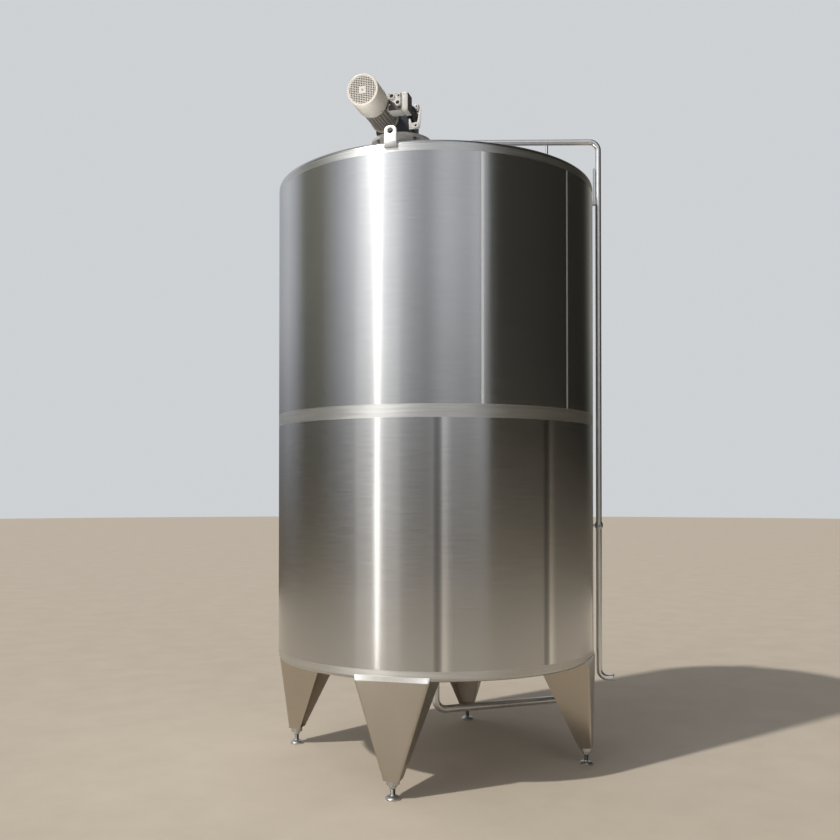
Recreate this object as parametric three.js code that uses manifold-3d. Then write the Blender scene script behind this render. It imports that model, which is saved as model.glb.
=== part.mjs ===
// Stainless steel mixing tank on four folded legs, with its agitator drive and fill pipe.
// Millimetres, +Z up. The origin is on the ground under the tank's axis.
// An azimuth is counted in degrees from -Y towards +X, and -Y is the side between two legs.
import * as THREE from 'three';
import { mergeVertices } from 'three/addons/utils/BufferGeometryUtils.js';
import Module from 'manifold-3d';

const wasm = await Module();
wasm.setup();

// Vessel: two courses rolled from sheet 1500 wide, between a coned roof and a coned floor
const SHELL_RADIUS = 1025;
const SHELL_PLATE = 3;
const COURSE_HEIGHT = 1490;
const BASE_HEIGHT = 685;
const MID_HEIGHT = BASE_HEIGHT + COURSE_HEIGHT;
const RIM_HEIGHT = MID_HEIGHT + COURSE_HEIGHT;
const END_SLOPE = THREE.MathUtils.degToRad(10);
const ROOF_KNUCKLE = 25;
const FLOOR_KNUCKLE = 20;
const ROOF_PLATE = 3;
const FLOOR_PLATE = 4;
const KNUCKLE_STEPS = 3;
const SHELL_FACETS = 96;
const FACET_ANGLE = 360 / SHELL_FACETS;
const ROUND_FACETS = 48;

// Azimuths of the upright seams: a narrow closing plate lies between the first two
const LOWER_SEAMS = [-29, 9, 170];
const UPPER_SEAMS = [-16, 18.5, 181];

// Clearance where a piece is cut by its neighbour or stands against it
const SEAT_GAP = 0.3;

// Legs folded from plate, each on a jacking foot
const LEG_AZIMUTHS = { front_left: -45, front_right: 45, rear_right: 135, rear_left: 225 };
const LEG_PLATE = 4;
const LEG_FACE = 1022;
const LEG_TOP_WIDTH = 458;
const LEG_TOP_DEPTH = 332;
const LEG_TOP_HEIGHT = 692;
const LEG_FOLD_HEIGHT = 662;
const LEG_FOOT_WIDTH = 96;
const LEG_FOOT_DEPTH = 82;
const LEG_FOOT_HEIGHT = 110;
const LEG_LAP_RADIUS = SHELL_RADIUS + SEAT_GAP + LEG_PLATE;
const LEG_LAP_STEPS = 8;
const LEG_SOLE = 6;
const BOSS_RADIUS = 38;
const BOSS_BOTTOM = 82;
const SPINDLE_RADIUS = 14;
const FOOT_RADIUS = 43;
const FOOT_RIM = 10;
const FOOT_SHOULDER_RADIUS = 33;
const FOOT_SHOULDER = 19;
const FOOT_DOME = 24;

// Lifting lugs: upright plates welded against the rim
const LUG_AZIMUTHS = { front: -45, rear: 135 };
const LUG_WIDTH = 72;
const LUG_HEIGHT = 119;
const LUG_LAP = 13;
const LUG_CORNER = 28;
const LUG_HOLE_RADIUS = 16;
const LUG_HOLE_DROP = 29;
const LUG_PLATE = 12;

// Agitator drive: its shaft stands off the tank's axis, and its motor points to the front left leg
const DRIVE_AZIMUTH = -45;
const DRIVE_X = -194;
const DRIVE_Y = -137;
const NECK_RADIUS = 110;
const NECK_WALL = 6;
const DRIVE_FLANGE_HEIGHT = 3990;
const DRIVE_FLANGE_RADIUS = 197;
const DRIVE_FLANGE_PLATE = 20;
const GEARBOX_HEIGHT = 245;
const GEARBOX_FRONT = -173;
const GEARBOX_BACK = 107;
const GEARBOX_LEFT = -123;
const GEARBOX_RIGHT = 89;
const GEARBOX_FOOT_RIGHT = 124;
const GEARBOX_FOOT_RIM = 15;
const GEARBOX_WAIST = 90;
const GEARBOX_CHAMFER = 30;
const MOTOR_HEIGHT = 4110;
const MOTOR_X = -61;
const MOTOR_CORE_RADIUS = 78;
const MOTOR_BODY_LENGTH = 246;
const FIN_HEIGHT = 11;
const FIN_WIDTH = 4;
const FIN_COUNT = 28;
const SHIELD_RADIUS = 95;
const SHIELD_LENGTH = 22;
const COWL_RADIUS = 97.5;
const COWL_LENGTH = 190;
const MOTOR_FACETS = 32;
const TERMINAL_BOX = { width: 128, length: 95, height: 114, pad: 14, margin: 15, fromCowl: 33 };

// Fill pipe over the rim and down the right side
const TUBE_WALL = 2;
const TUBE_SIDES = 16;
const BEND_STEPS = 6;
const FERRULE_LIP = 7;
const FERRULE_THICKNESS = 6;
const CLAMP_WALL = 8;
const CLAMP_HEIGHT = 20;
const FILL_AZIMUTH = 59.1;
const FILL_TUBE_RADIUS = 19;
const FILL_BEND = 57;
const FILL_NOZZLE_REACH = 200;
const FILL_DROP_REACH = 1076;
const FILL_RUN_HEIGHT = 4036;
const FILL_JOINT_HEIGHT = 3944;
const FILL_END_HEIGHT = 500;
const FILL_END_REACH = 1172;
const UNION_HEIGHT = 1501;
const UNION_HALF_LENGTH = 22;
const SUPPORT_REACH = 737;
const SUPPORT_RADIUS = 9;
const UPPER_CLIP = { bottom: 3618, top: 3640, width: 40 };
const CLIP_BAR = { reach: 1044, thickness: 6, top: 3858 };
const LOWER_CLIP = { bottom: 1492, top: 1510, width: 24 };

// Outlet under the tank
const OUTLET_AZIMUTH = 81;
const OUTLET_TUBE_RADIUS = 25.5;
const OUTLET_BEND = 76;
const OUTLET_HEIGHT = 283;
const OUTLET_REACH = 975;
const OUTLET_COLLAR_RADIUS = 60;
const OUTLET_COLLAR = 8;

// Manway on the roof's rear
const MANWAY_AZIMUTH = 165;
const MANWAY_REACH = 590;
const MANWAY_RADIUS = 225;
const MANWAY_WALL = 4;
const MANWAY_TOP = 3885;
const LID_OVERHANG = 16;
const LID_RIM = 12;
const LID_SHOULDER_RADIUS = 150;
const LID_SHOULDER = 27;
const LID_CROWN = 34;

// Finishes
const STEEL = { color: 0xb4b5b3, roughness: 0.28, metalness: 1 };
const DULL_STEEL = { color: 0xa9a8a4, roughness: 0.45, metalness: 1 };
const PIPE_STEEL = { color: 0xbfc0c2, roughness: 0.22, metalness: 1 };
const MOTOR_PAINT = { color: 0x6f6c64, roughness: 0.6, metalness: 0.1 };
const COWL_PAINT = { color: 0xc9c2ae, roughness: 0.5, metalness: 0.1 };
const GEARBOX_PAINT = { color: 0x2f3136, roughness: 0.55, metalness: 0.2 };

const tank = new THREE.Group();

function addPart(parent, name, geometry, finish) {
  const mesh = new THREE.Mesh(geometry, new THREE.MeshStandardMaterial(finish));
  mesh.name = name;
  parent.add(mesh);
}

// A group whose own -Y points along the azimuth, so that what it holds is drawn as if in front
function facing(azimuth) {
  const group = new THREE.Group();
  group.rotation.z = THREE.MathUtils.degToRad(azimuth);
  tank.add(group);
  return group;
}

// Makes a closed geometry into a solid that can be joined and cut
function solidOf(geometry) {
  const bare = geometry.clone();
  bare.deleteAttribute('normal');
  bare.deleteAttribute('uv');
  const merged = mergeVertices(bare);
  const corners = merged.index.array;
  const triangles = [];
  for (let i = 0; i < corners.length; i += 3) {
    const [a, b, c] = corners.slice(i, i + 3);
    if (a !== b && b !== c && c !== a) triangles.push(a, b, c);
  }
  return new wasm.Manifold(new wasm.Mesh({
    numProp: 3,
    vertProperties: new Float32Array(merged.attributes.position.array),
    triVerts: new Uint32Array(triangles),
  }));
}

function geometryOf(solid) {
  const mesh = solid.getMesh();
  const geometry = new THREE.BufferGeometry();
  geometry.setAttribute('position', new THREE.BufferAttribute(mesh.vertProperties, 3));
  geometry.setIndex(new THREE.BufferAttribute(mesh.triVerts, 1));
  geometry.computeVertexNormals();
  return geometry;
}

function joined(...geometries) {
  return geometryOf(wasm.Manifold.union(geometries.map(solidOf)));
}

// A closed profile of [radius, height] pairs, counterclockwise, turned about the upright axis
function turned(profile, facets = ROUND_FACETS) {
  const points = profile.map(([radius, height]) => new THREE.Vector2(radius, height));
  return new THREE.LatheGeometry(points, facets).rotateX(Math.PI / 2);
}

function disc(radius, bottom, top, facets) {
  return turned([[0, bottom], [radius, bottom], [radius, top], [0, top]], facets);
}

function ring(inner, outer, bottom, top, facets) {
  const profile = [[inner, bottom], [outer, bottom], [outer, top], [inner, top], [inner, bottom]];
  return turned(profile, facets);
}

// Lays a turned piece down, so that its height becomes its distance along -Y
function laidAlong(geometry, height) {
  return geometry.rotateX(Math.PI / 2).translate(0, 0, height);
}

// A box given by its lowest and highest corners
function block(low, high) {
  const size = low.map((value, axis) => high[axis] - value);
  const middle = low.map((value, axis) => (high[axis] + value) / 2);
  return new THREE.BoxGeometry(...size).translate(...middle);
}

// A shape drawn in X and Z, thickened from the Y of its front face towards +Y
function thickened(shape, frontY, thickness) {
  const plate = new THREE.ExtrudeGeometry(shape, { depth: thickness, bevelEnabled: false });
  return plate.rotateX(Math.PI / 2).translate(0, frontY + thickness, 0);
}

function shapeOf(points) {
  return new THREE.Shape(points.map(([x, y]) => new THREE.Vector2(x, y)));
}

// One surface of an end, from its rim to the axis; up is 1 for the roof and -1 for the floor
function endSurface(rimHeight, knuckle, inset, up) {
  const reach = knuckle - inset;
  const sweep = Math.PI / 2 - END_SLOPE;
  const surface = [];
  for (let i = 0; i <= KNUCKLE_STEPS; i++) {
    const angle = sweep * i / KNUCKLE_STEPS;
    const radius = SHELL_RADIUS - knuckle + reach * Math.cos(angle);
    surface.push([radius, rimHeight + up * reach * Math.sin(angle)]);
  }
  const [lastRadius, lastHeight] = surface[KNUCKLE_STEPS];
  surface.push([0, lastHeight + up * lastRadius * Math.tan(END_SLOPE)]);
  return surface;
}

// Height of the roof's outer surface at a radius inside the knuckle
function roofHeight(radius) {
  const apex = endSurface(RIM_HEIGHT, ROOF_KNUCKLE, 0, 1).at(-1)[1];
  return apex - radius * Math.tan(END_SLOPE);
}

// Everything under the roof's outer surface, to cut what stands on the roof
function underRoof() {
  const surface = endSurface(RIM_HEIGHT, ROOF_KNUCKLE, -SEAT_GAP, 1);
  const rim = surface[0][0];
  return solidOf(turned([[0, MID_HEIGHT], [rim, MID_HEIGHT], ...surface], SHELL_FACETS));
}

// Everything over the floor's outer surface and inside the shell, to cut what is welded to them
function overFloor() {
  const surface = endSurface(BASE_HEIGHT, FLOOR_KNUCKLE, -SEAT_GAP, -1).reverse();
  const rim = surface.at(-1)[0] / Math.cos(THREE.MathUtils.degToRad(FACET_ANGLE / 2));
  const profile = [...surface, [rim, BASE_HEIGHT], [rim, MID_HEIGHT], [0, MID_HEIGHT]];
  return solidOf(turned(profile, SHELL_FACETS));
}

// A plate rolled to the shell's radius between two azimuths, standing on the given height
function rolledPlate(start, end, bottom) {
  const steps = Math.ceil((end - start) / FACET_ANGLE);
  const outer = [];
  const inner = [];
  for (let i = 0; i <= steps; i++) {
    const azimuth = THREE.MathUtils.degToRad(THREE.MathUtils.lerp(start, end, i / steps));
    const direction = [Math.sin(azimuth), -Math.cos(azimuth)];
    outer.push(direction.map((part) => part * SHELL_RADIUS));
    inner.unshift(direction.map((part) => part * (SHELL_RADIUS - SHELL_PLATE)));
  }
  const shape = shapeOf([...outer, ...inner]);
  const plate = new THREE.ExtrudeGeometry(shape, { depth: COURSE_HEIGHT, bevelEnabled: false });
  return plate.translate(0, 0, bottom);
}

function addShell() {
  const courses = [['lower', BASE_HEIGHT, LOWER_SEAMS], ['upper', MID_HEIGHT, UPPER_SEAMS]];
  for (const [course, bottom, [first, second, third]] of courses) {
    addPart(tank, `shell_${course}_closing_plate`, rolledPlate(first, second, bottom), STEEL);
    addPart(tank, `shell_${course}_right_plate`, rolledPlate(second, third, bottom), STEEL);
    addPart(tank, `shell_${course}_left_plate`, rolledPlate(third, first + 360, bottom), STEEL);
  }
  const roofOutside = endSurface(RIM_HEIGHT, ROOF_KNUCKLE, 0, 1);
  const roofInside = endSurface(RIM_HEIGHT, ROOF_KNUCKLE, ROOF_PLATE, 1);
  const roof = turned([...roofInside.reverse(), ...roofOutside], SHELL_FACETS);
  addPart(tank, 'roof_cone', roof, STEEL);
  const floorOutside = endSurface(BASE_HEIGHT, FLOOR_KNUCKLE, 0, -1);
  const floorInside = endSurface(BASE_HEIGHT, FLOOR_KNUCKLE, FLOOR_PLATE, -1);
  const floor = turned([...floorOutside.reverse(), ...floorInside], SHELL_FACETS);
  addPart(tank, 'floor_cone', floor, STEEL);
}

// Half of the leg's width at a height: its two edges slope evenly
function legHalfWidth(height) {
  const share = (height - LEG_FOOT_HEIGHT) / (LEG_TOP_HEIGHT - LEG_FOOT_HEIGHT);
  return THREE.MathUtils.lerp(LEG_FOOT_WIDTH, LEG_TOP_WIDTH, share) / 2;
}

// How far the leg's top edge, drawn round the shell, stands from the tank's axis at an X
function lapReach(x) {
  return Math.sqrt(LEG_LAP_RADIUS ** 2 - x ** 2);
}

// The leg's front plate: flat up to its fold, and from there drawn round the shell's lower edge
function legFront() {
  const foot = legHalfWidth(LEG_FOOT_HEIGHT);
  const fold = legHalfWidth(LEG_FOLD_HEIGHT);
  const face = shapeOf([
    [-foot, LEG_FOOT_HEIGHT],
    [foot, LEG_FOOT_HEIGHT],
    [fold, LEG_FOLD_HEIGHT],
    [-fold, LEG_FOLD_HEIGHT],
  ]);
  const lap = new THREE.BoxGeometry(2, 2, 2, LEG_LAP_STEPS, 1, 1);
  const corners = lap.attributes.position;
  for (let i = 0; i < corners.count; i++) {
    const isTop = corners.getZ(i) > 0;
    const height = isTop ? LEG_TOP_HEIGHT : LEG_FOLD_HEIGHT;
    const x = corners.getX(i) * legHalfWidth(height);
    const reach = isTop ? lapReach(x) : LEG_FACE;
    const inset = corners.getY(i) > 0 ? LEG_PLATE : 0;
    corners.setXYZ(i, x, inset - reach, height);
  }
  return joined(thickened(face, -LEG_FACE, LEG_PLATE), lap);
}

// A flat side flange in the sloping plane of the leg's edge; side is -1 for left and 1 for right
function legFlange(side) {
  const rise = LEG_TOP_HEIGHT - LEG_FOOT_HEIGHT;
  const run = (LEG_TOP_WIDTH - LEG_FOOT_WIDTH) / 2;
  const edge = Math.hypot(rise, run);
  const foldEdge = edge * (LEG_FOLD_HEIGHT - LEG_FOOT_HEIGHT) / rise;
  const lapDepth = LEG_FACE - lapReach(LEG_TOP_WIDTH / 2);
  const shape = shapeOf([
    [0, 0],
    [foldEdge, 0],
    [edge, lapDepth],
    [edge, LEG_TOP_DEPTH],
    [0, LEG_FOOT_DEPTH],
  ]);
  const plate = new THREE.ExtrudeGeometry(shape, { depth: LEG_PLATE, bevelEnabled: false });
  plate.translate(0, 0, side > 0 ? 0 : -LEG_PLATE);
  const along = new THREE.Vector3(side * run, 0, rise).normalize();
  const inward = new THREE.Vector3(0, 1, 0);
  const across = new THREE.Vector3().crossVectors(along, inward);
  plate.applyMatrix4(new THREE.Matrix4().makeBasis(along, inward, across));
  return plate.translate(side * LEG_FOOT_WIDTH / 2, -LEG_FACE, LEG_FOOT_HEIGHT);
}

function legGeometry(spindleY) {
  const half = LEG_FOOT_WIDTH / 2;
  const sole = block(
    [-half, -LEG_FACE, LEG_FOOT_HEIGHT],
    [half, -LEG_FACE + LEG_FOOT_DEPTH, LEG_FOOT_HEIGHT + LEG_SOLE]);
  const folded = solidOf(joined(legFront(), legFlange(-1), legFlange(1), sole));
  const trimmed = folded
    .trimByPlane([0, 0, 1], LEG_FOOT_HEIGHT)
    .trimByPlane([0, 0, -1], -LEG_TOP_HEIGHT)
    .subtract(overFloor());
  const boss = disc(BOSS_RADIUS, BOSS_BOTTOM, LEG_FOOT_HEIGHT + LEG_SOLE / 2, TUBE_SIDES);
  return geometryOf(trimmed.add(solidOf(boss.translate(0, spindleY, 0))));
}

function addLegs() {
  const spindleY = -LEG_FACE + LEG_FOOT_DEPTH / 2;
  const leg = legGeometry(spindleY);
  const foot = turned([
    [0, 0],
    [FOOT_RADIUS, 0],
    [FOOT_RADIUS, FOOT_RIM],
    [FOOT_SHOULDER_RADIUS, FOOT_SHOULDER],
    [SPINDLE_RADIUS, FOOT_DOME],
    [SPINDLE_RADIUS, BOSS_BOTTOM],
    [0, BOSS_BOTTOM],
  ], TUBE_SIDES).translate(0, spindleY, 0);
  for (const [corner, azimuth] of Object.entries(LEG_AZIMUTHS)) {
    const group = facing(azimuth);
    addPart(group, `leg_${corner}`, leg.clone(), STEEL);
    addPart(group, `foot_${corner}`, foot.clone(), DULL_STEEL);
  }
}

function addLugs() {
  const half = LUG_WIDTH / 2;
  const bottom = RIM_HEIGHT - LUG_LAP;
  const top = bottom + LUG_HEIGHT;
  const shape = new THREE.Shape();
  shape.moveTo(-half, bottom);
  shape.lineTo(half, bottom);
  shape.absarc(half - LUG_CORNER, top - LUG_CORNER, LUG_CORNER, 0, Math.PI / 2);
  shape.absarc(LUG_CORNER - half, top - LUG_CORNER, LUG_CORNER, Math.PI / 2, Math.PI);
  const hole = new THREE.Path();
  hole.absarc(0, top - LUG_HOLE_DROP, LUG_HOLE_RADIUS, 0, 2 * Math.PI, true);
  shape.holes.push(hole);
  const frontY = -SHELL_RADIUS - SEAT_GAP - LUG_PLATE;
  for (const [side, azimuth] of Object.entries(LUG_AZIMUTHS)) {
    addPart(facing(azimuth), `lifting_lug_${side}`, thickened(shape, frontY, LUG_PLATE), DULL_STEEL);
  }
}

// The gearbox: a chamfered housing whose right side spreads to a foot on the flange
function gearboxGeometry(seat) {
  const top = seat + GEARBOX_HEIGHT;
  const housing = shapeOf([
    [GEARBOX_LEFT, seat],
    [GEARBOX_FOOT_RIGHT, seat],
    [GEARBOX_FOOT_RIGHT, seat + GEARBOX_FOOT_RIM],
    [GEARBOX_RIGHT, seat + GEARBOX_WAIST],
    [GEARBOX_RIGHT, top - GEARBOX_CHAMFER],
    [GEARBOX_RIGHT - GEARBOX_CHAMFER, top],
    [GEARBOX_LEFT + GEARBOX_CHAMFER, top],
    [GEARBOX_LEFT, top - GEARBOX_CHAMFER],
  ]);
  return thickened(housing, GEARBOX_FRONT, GEARBOX_BACK - GEARBOX_FRONT);
}

// The motor's barrel with its cooling fins, along -Y from one distance to another
function finnedBody(from, to) {
  const points = [];
  for (let i = 0; i < FIN_COUNT; i++) {
    const middle = 2 * Math.PI * i / FIN_COUNT;
    for (const [side, radius] of [[-1, 0], [-1, FIN_HEIGHT], [1, FIN_HEIGHT], [1, 0]]) {
      const reach = MOTOR_CORE_RADIUS + radius;
      const angle = middle + side * FIN_WIDTH / 2 / reach;
      points.push([reach * Math.cos(angle), reach * Math.sin(angle)]);
    }
  }
  return thickened(shapeOf(points), -to, to - from).translate(0, 0, MOTOR_HEIGHT);
}

// The terminal box stands on the motor's right side, behind the cowl
function terminalBoxGeometry(cowlStart) {
  const { width, length, height, pad, margin, fromCowl } = TERMINAL_BOX;
  const inside = MOTOR_CORE_RADIUS + FIN_HEIGHT + SEAT_GAP;
  const front = fromCowl - cowlStart;
  const [bottom, top] = [MOTOR_HEIGHT - height / 2, MOTOR_HEIGHT + height / 2];
  return joined(
    block([inside + pad, front, bottom], [inside + width, front + length, top]),
    block([inside, front + margin, bottom + margin],
      [inside + 2 * pad, front + length - margin, top - margin]));
}

function addDrive() {
  const drive = new THREE.Group();
  drive.position.set(DRIVE_X, DRIVE_Y, 0);
  facing(DRIVE_AZIMUTH).add(drive);

  const offset = Math.hypot(DRIVE_X, DRIVE_Y);
  const neck = ring(
    NECK_RADIUS - NECK_WALL, NECK_RADIUS, roofHeight(offset + NECK_RADIUS), DRIVE_FLANGE_HEIGHT);
  const roofCut = underRoof().translate([-DRIVE_X, -DRIVE_Y, 0]);
  addPart(drive, 'drive_neck', geometryOf(solidOf(neck).subtract(roofCut)), STEEL);
  const seat = DRIVE_FLANGE_HEIGHT + DRIVE_FLANGE_PLATE;
  addPart(drive, 'drive_flange', disc(DRIVE_FLANGE_RADIUS, DRIVE_FLANGE_HEIGHT, seat), DULL_STEEL);
  addPart(drive, 'gearbox', gearboxGeometry(seat), GEARBOX_PAINT);

  const motor = new THREE.Group();
  motor.position.x = MOTOR_X;
  drive.add(motor);
  const shieldStart = SEAT_GAP - GEARBOX_FRONT;
  const bodyStart = shieldStart + SHIELD_LENGTH;
  const cowlStart = bodyStart + MOTOR_BODY_LENGTH;
  const shield = disc(SHIELD_RADIUS, shieldStart, bodyStart - SEAT_GAP, MOTOR_FACETS);
  const cowl = disc(COWL_RADIUS, cowlStart + SEAT_GAP, cowlStart + COWL_LENGTH, MOTOR_FACETS);
  addPart(motor, 'motor_end_shield', laidAlong(shield, MOTOR_HEIGHT), MOTOR_PAINT);
  addPart(motor, 'motor_body', finnedBody(bodyStart, cowlStart), MOTOR_PAINT);
  addPart(motor, 'fan_cowl', laidAlong(cowl, MOTOR_HEIGHT), COWL_PAINT);
  addPart(motor, 'terminal_box', terminalBoxGeometry(cowlStart), COWL_PAINT);
}

// A quarter of a circle in the YZ plane: reach runs along -Y, and angles turn from it towards +Z
class QuarterArc extends THREE.Curve {
  constructor(reach, height, radius, startAngle, turn) {
    super();
    Object.assign(this, { reach, height, radius, startAngle, turn });
  }

  angleAt(t) {
    return THREE.MathUtils.degToRad(this.startAngle + this.turn * 90 * t);
  }

  getPoint(t, target = new THREE.Vector3()) {
    const angle = this.angleAt(t);
    return target.set(
      0, -this.reach - this.radius * Math.cos(angle), this.height + this.radius * Math.sin(angle));
  }

  getTangent(t, target = new THREE.Vector3()) {
    const angle = this.angleAt(t);
    return target.set(0, this.turn * Math.sin(angle), this.turn * Math.cos(angle));
  }
}

// A bent tube along a quarter arc
function bend(tubeRadius, arc) {
  const section = new THREE.Shape();
  section.absarc(0, 0, tubeRadius, 0, 2 * Math.PI);
  const bore = new THREE.Path();
  bore.absarc(0, 0, tubeRadius - TUBE_WALL, 0, 2 * Math.PI, true);
  section.holes.push(bore);
  return new THREE.ExtrudeGeometry(
    section, { steps: BEND_STEPS, curveSegments: TUBE_SIDES / 2, extrudePath: arc });
}

// A straight tube with a ferrule lip at one of its ends, or at neither
function tube(radius, bottom, top, lipAt = null) {
  const pipe = ring(radius - TUBE_WALL, radius, bottom, top, TUBE_SIDES);
  if (lipAt === null) return pipe;
  const lipBottom = lipAt === top ? top - FERRULE_THICKNESS : bottom;
  const lip = ring(
    radius - TUBE_WALL, radius + FERRULE_LIP, lipBottom, lipBottom + FERRULE_THICKNESS, TUBE_SIDES);
  return joined(pipe, lip);
}

function addFillPipe() {
  const group = facing(FILL_AZIMUTH);
  const radius = FILL_TUBE_RADIUS;
  const atNozzle = (geometry) => geometry.translate(0, -FILL_NOZZLE_REACH, 0);
  const atDrop = (geometry) => geometry.translate(0, -FILL_DROP_REACH, 0);

  const nozzleBottom = roofHeight(FILL_NOZZLE_REACH + radius);
  const nozzle = atNozzle(tube(radius, nozzleBottom, FILL_JOINT_HEIGHT, FILL_JOINT_HEIGHT));
  addPart(group, 'fill_nozzle', geometryOf(solidOf(nozzle).subtract(underRoof())), PIPE_STEEL);
  const riserTop = FILL_RUN_HEIGHT - FILL_BEND;
  const riser = tube(radius, FILL_JOINT_HEIGHT, riserTop, FILL_JOINT_HEIGHT);
  addPart(group, 'fill_riser', atNozzle(riser), PIPE_STEEL);
  const clampInside = radius + FERRULE_LIP + SEAT_GAP;
  const clamp = ring(
    clampInside, clampInside + CLAMP_WALL,
    FILL_JOINT_HEIGHT - CLAMP_HEIGHT / 2, FILL_JOINT_HEIGHT + CLAMP_HEIGHT / 2, TUBE_SIDES);
  addPart(group, 'fill_clamp', atNozzle(clamp), DULL_STEEL);

  const runStart = FILL_NOZZLE_REACH + FILL_BEND;
  const runEnd = FILL_DROP_REACH - FILL_BEND;
  const tailStart = FILL_DROP_REACH + FILL_BEND;
  const tailHeight = FILL_END_HEIGHT + FILL_BEND;
  const innerArc = new QuarterArc(runStart, riserTop, FILL_BEND, 180, -1);
  const outerArc = new QuarterArc(runEnd, riserTop, FILL_BEND, 90, -1);
  const tailArc = new QuarterArc(tailStart, tailHeight, FILL_BEND, 180, 1);
  const run = tube(radius, runStart + SEAT_GAP, runEnd - SEAT_GAP);
  addPart(group, 'fill_bend_inner', bend(radius, innerArc), PIPE_STEEL);
  addPart(group, 'fill_run', laidAlong(run, FILL_RUN_HEIGHT), PIPE_STEEL);
  addPart(group, 'fill_bend_outer', bend(radius, outerArc), PIPE_STEEL);

  const unionTop = UNION_HEIGHT + UNION_HALF_LENGTH;
  const unionBottom = UNION_HEIGHT - UNION_HALF_LENGTH;
  const union = ring(
    radius - TUBE_WALL, radius + FERRULE_LIP, unionBottom, unionTop, TUBE_SIDES);
  addPart(group, 'fill_drop_upper', atDrop(tube(radius, unionTop, riserTop)), PIPE_STEEL);
  addPart(group, 'fill_union', atDrop(union), PIPE_STEEL);
  addPart(group, 'fill_drop_lower', atDrop(tube(radius, tailHeight, unionBottom)), PIPE_STEEL);
  addPart(group, 'fill_bend_tail', bend(radius, tailArc), PIPE_STEEL);
  const tail = tube(radius, tailStart + SEAT_GAP, FILL_END_REACH, FILL_END_REACH);
  addPart(group, 'fill_tail', laidAlong(tail, FILL_END_HEIGHT), PIPE_STEEL);
}

// What holds the fill pipe: a post on the roof, a clip with a bar at the rim and one lower down
function addFillSupports() {
  const group = facing(FILL_AZIMUTH);
  const postTop = FILL_RUN_HEIGHT - FILL_TUBE_RADIUS - SEAT_GAP;
  const post = disc(SUPPORT_RADIUS, roofHeight(SUPPORT_REACH + SUPPORT_RADIUS), postTop, TUBE_SIDES / 2);
  const seated = solidOf(post.translate(0, -SUPPORT_REACH, 0)).subtract(underRoof());
  addPart(group, 'fill_support_post', geometryOf(seated), DULL_STEEL);

  const inside = SHELL_RADIUS + SEAT_GAP;
  const outside = FILL_DROP_REACH - FILL_TUBE_RADIUS - SEAT_GAP;
  const halfUpper = UPPER_CLIP.width / 2;
  const upper = joined(
    block([-halfUpper, -outside, UPPER_CLIP.bottom], [halfUpper, -inside, UPPER_CLIP.top]),
    block([-halfUpper, -CLIP_BAR.reach - CLIP_BAR.thickness, UPPER_CLIP.bottom],
      [halfUpper, -CLIP_BAR.reach, CLIP_BAR.top]));
  addPart(group, 'fill_clip_upper', upper, DULL_STEEL);
  const halfLower = LOWER_CLIP.width / 2;
  const unionOutside = outside - FERRULE_LIP;
  const lower = block(
    [-halfLower, -unionOutside, LOWER_CLIP.bottom], [halfLower, -inside, LOWER_CLIP.top]);
  addPart(group, 'fill_clip_lower', lower, DULL_STEEL);
}

function addOutlet() {
  const group = facing(OUTLET_AZIMUTH);
  const radius = OUTLET_TUBE_RADIUS;
  const elbowTop = OUTLET_HEIGHT + OUTLET_BEND;
  const collarTop = BASE_HEIGHT;
  const collar = ring(
    radius - TUBE_WALL, OUTLET_COLLAR_RADIUS,
    endSurface(BASE_HEIGHT, FLOOR_KNUCKLE, 0, -1).at(-1)[1] - OUTLET_COLLAR, collarTop, TUBE_SIDES);
  const nozzle = solidOf(joined(tube(radius, elbowTop, collarTop), collar)).subtract(overFloor());
  addPart(group, 'outlet_nozzle', geometryOf(nozzle), PIPE_STEEL);
  const arc = new QuarterArc(OUTLET_BEND, elbowTop, OUTLET_BEND, 180, 1);
  addPart(group, 'outlet_bend', bend(radius, arc), PIPE_STEEL);
  const run = tube(radius, OUTLET_BEND + SEAT_GAP, OUTLET_REACH, OUTLET_REACH);
  addPart(group, 'outlet_run', laidAlong(run, OUTLET_HEIGHT), PIPE_STEEL);
}

function addManway() {
  const group = facing(MANWAY_AZIMUTH);
  const atManway = (geometry) => geometry.translate(0, -MANWAY_REACH, 0);
  const bottom = roofHeight(MANWAY_REACH + MANWAY_RADIUS);
  const wall = atManway(ring(MANWAY_RADIUS - MANWAY_WALL, MANWAY_RADIUS, bottom, MANWAY_TOP));
  addPart(group, 'manway_neck', geometryOf(solidOf(wall).subtract(underRoof())), STEEL);
  const lidRadius = MANWAY_RADIUS + LID_OVERHANG;
  const lid = turned([
    [0, MANWAY_TOP],
    [lidRadius, MANWAY_TOP],
    [lidRadius, MANWAY_TOP + LID_RIM],
    [LID_SHOULDER_RADIUS, MANWAY_TOP + LID_SHOULDER],
    [0, MANWAY_TOP + LID_CROWN],
  ]);
  addPart(group, 'manway_lid', atManway(lid), DULL_STEEL);
}

addShell();
addLegs();
addLugs();
addDrive();
addFillPipe();
addFillSupports();
addOutlet();
addManway();

export default tank;
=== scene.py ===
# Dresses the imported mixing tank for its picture.
# Metres, in the part's frame: the origin is on the ground under the tank's axis, +Z is up, and an
# azimuth is counted in degrees from -Y towards +X.
import math

import bmesh
import bpy
from mathutils import Matrix, Vector


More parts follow.
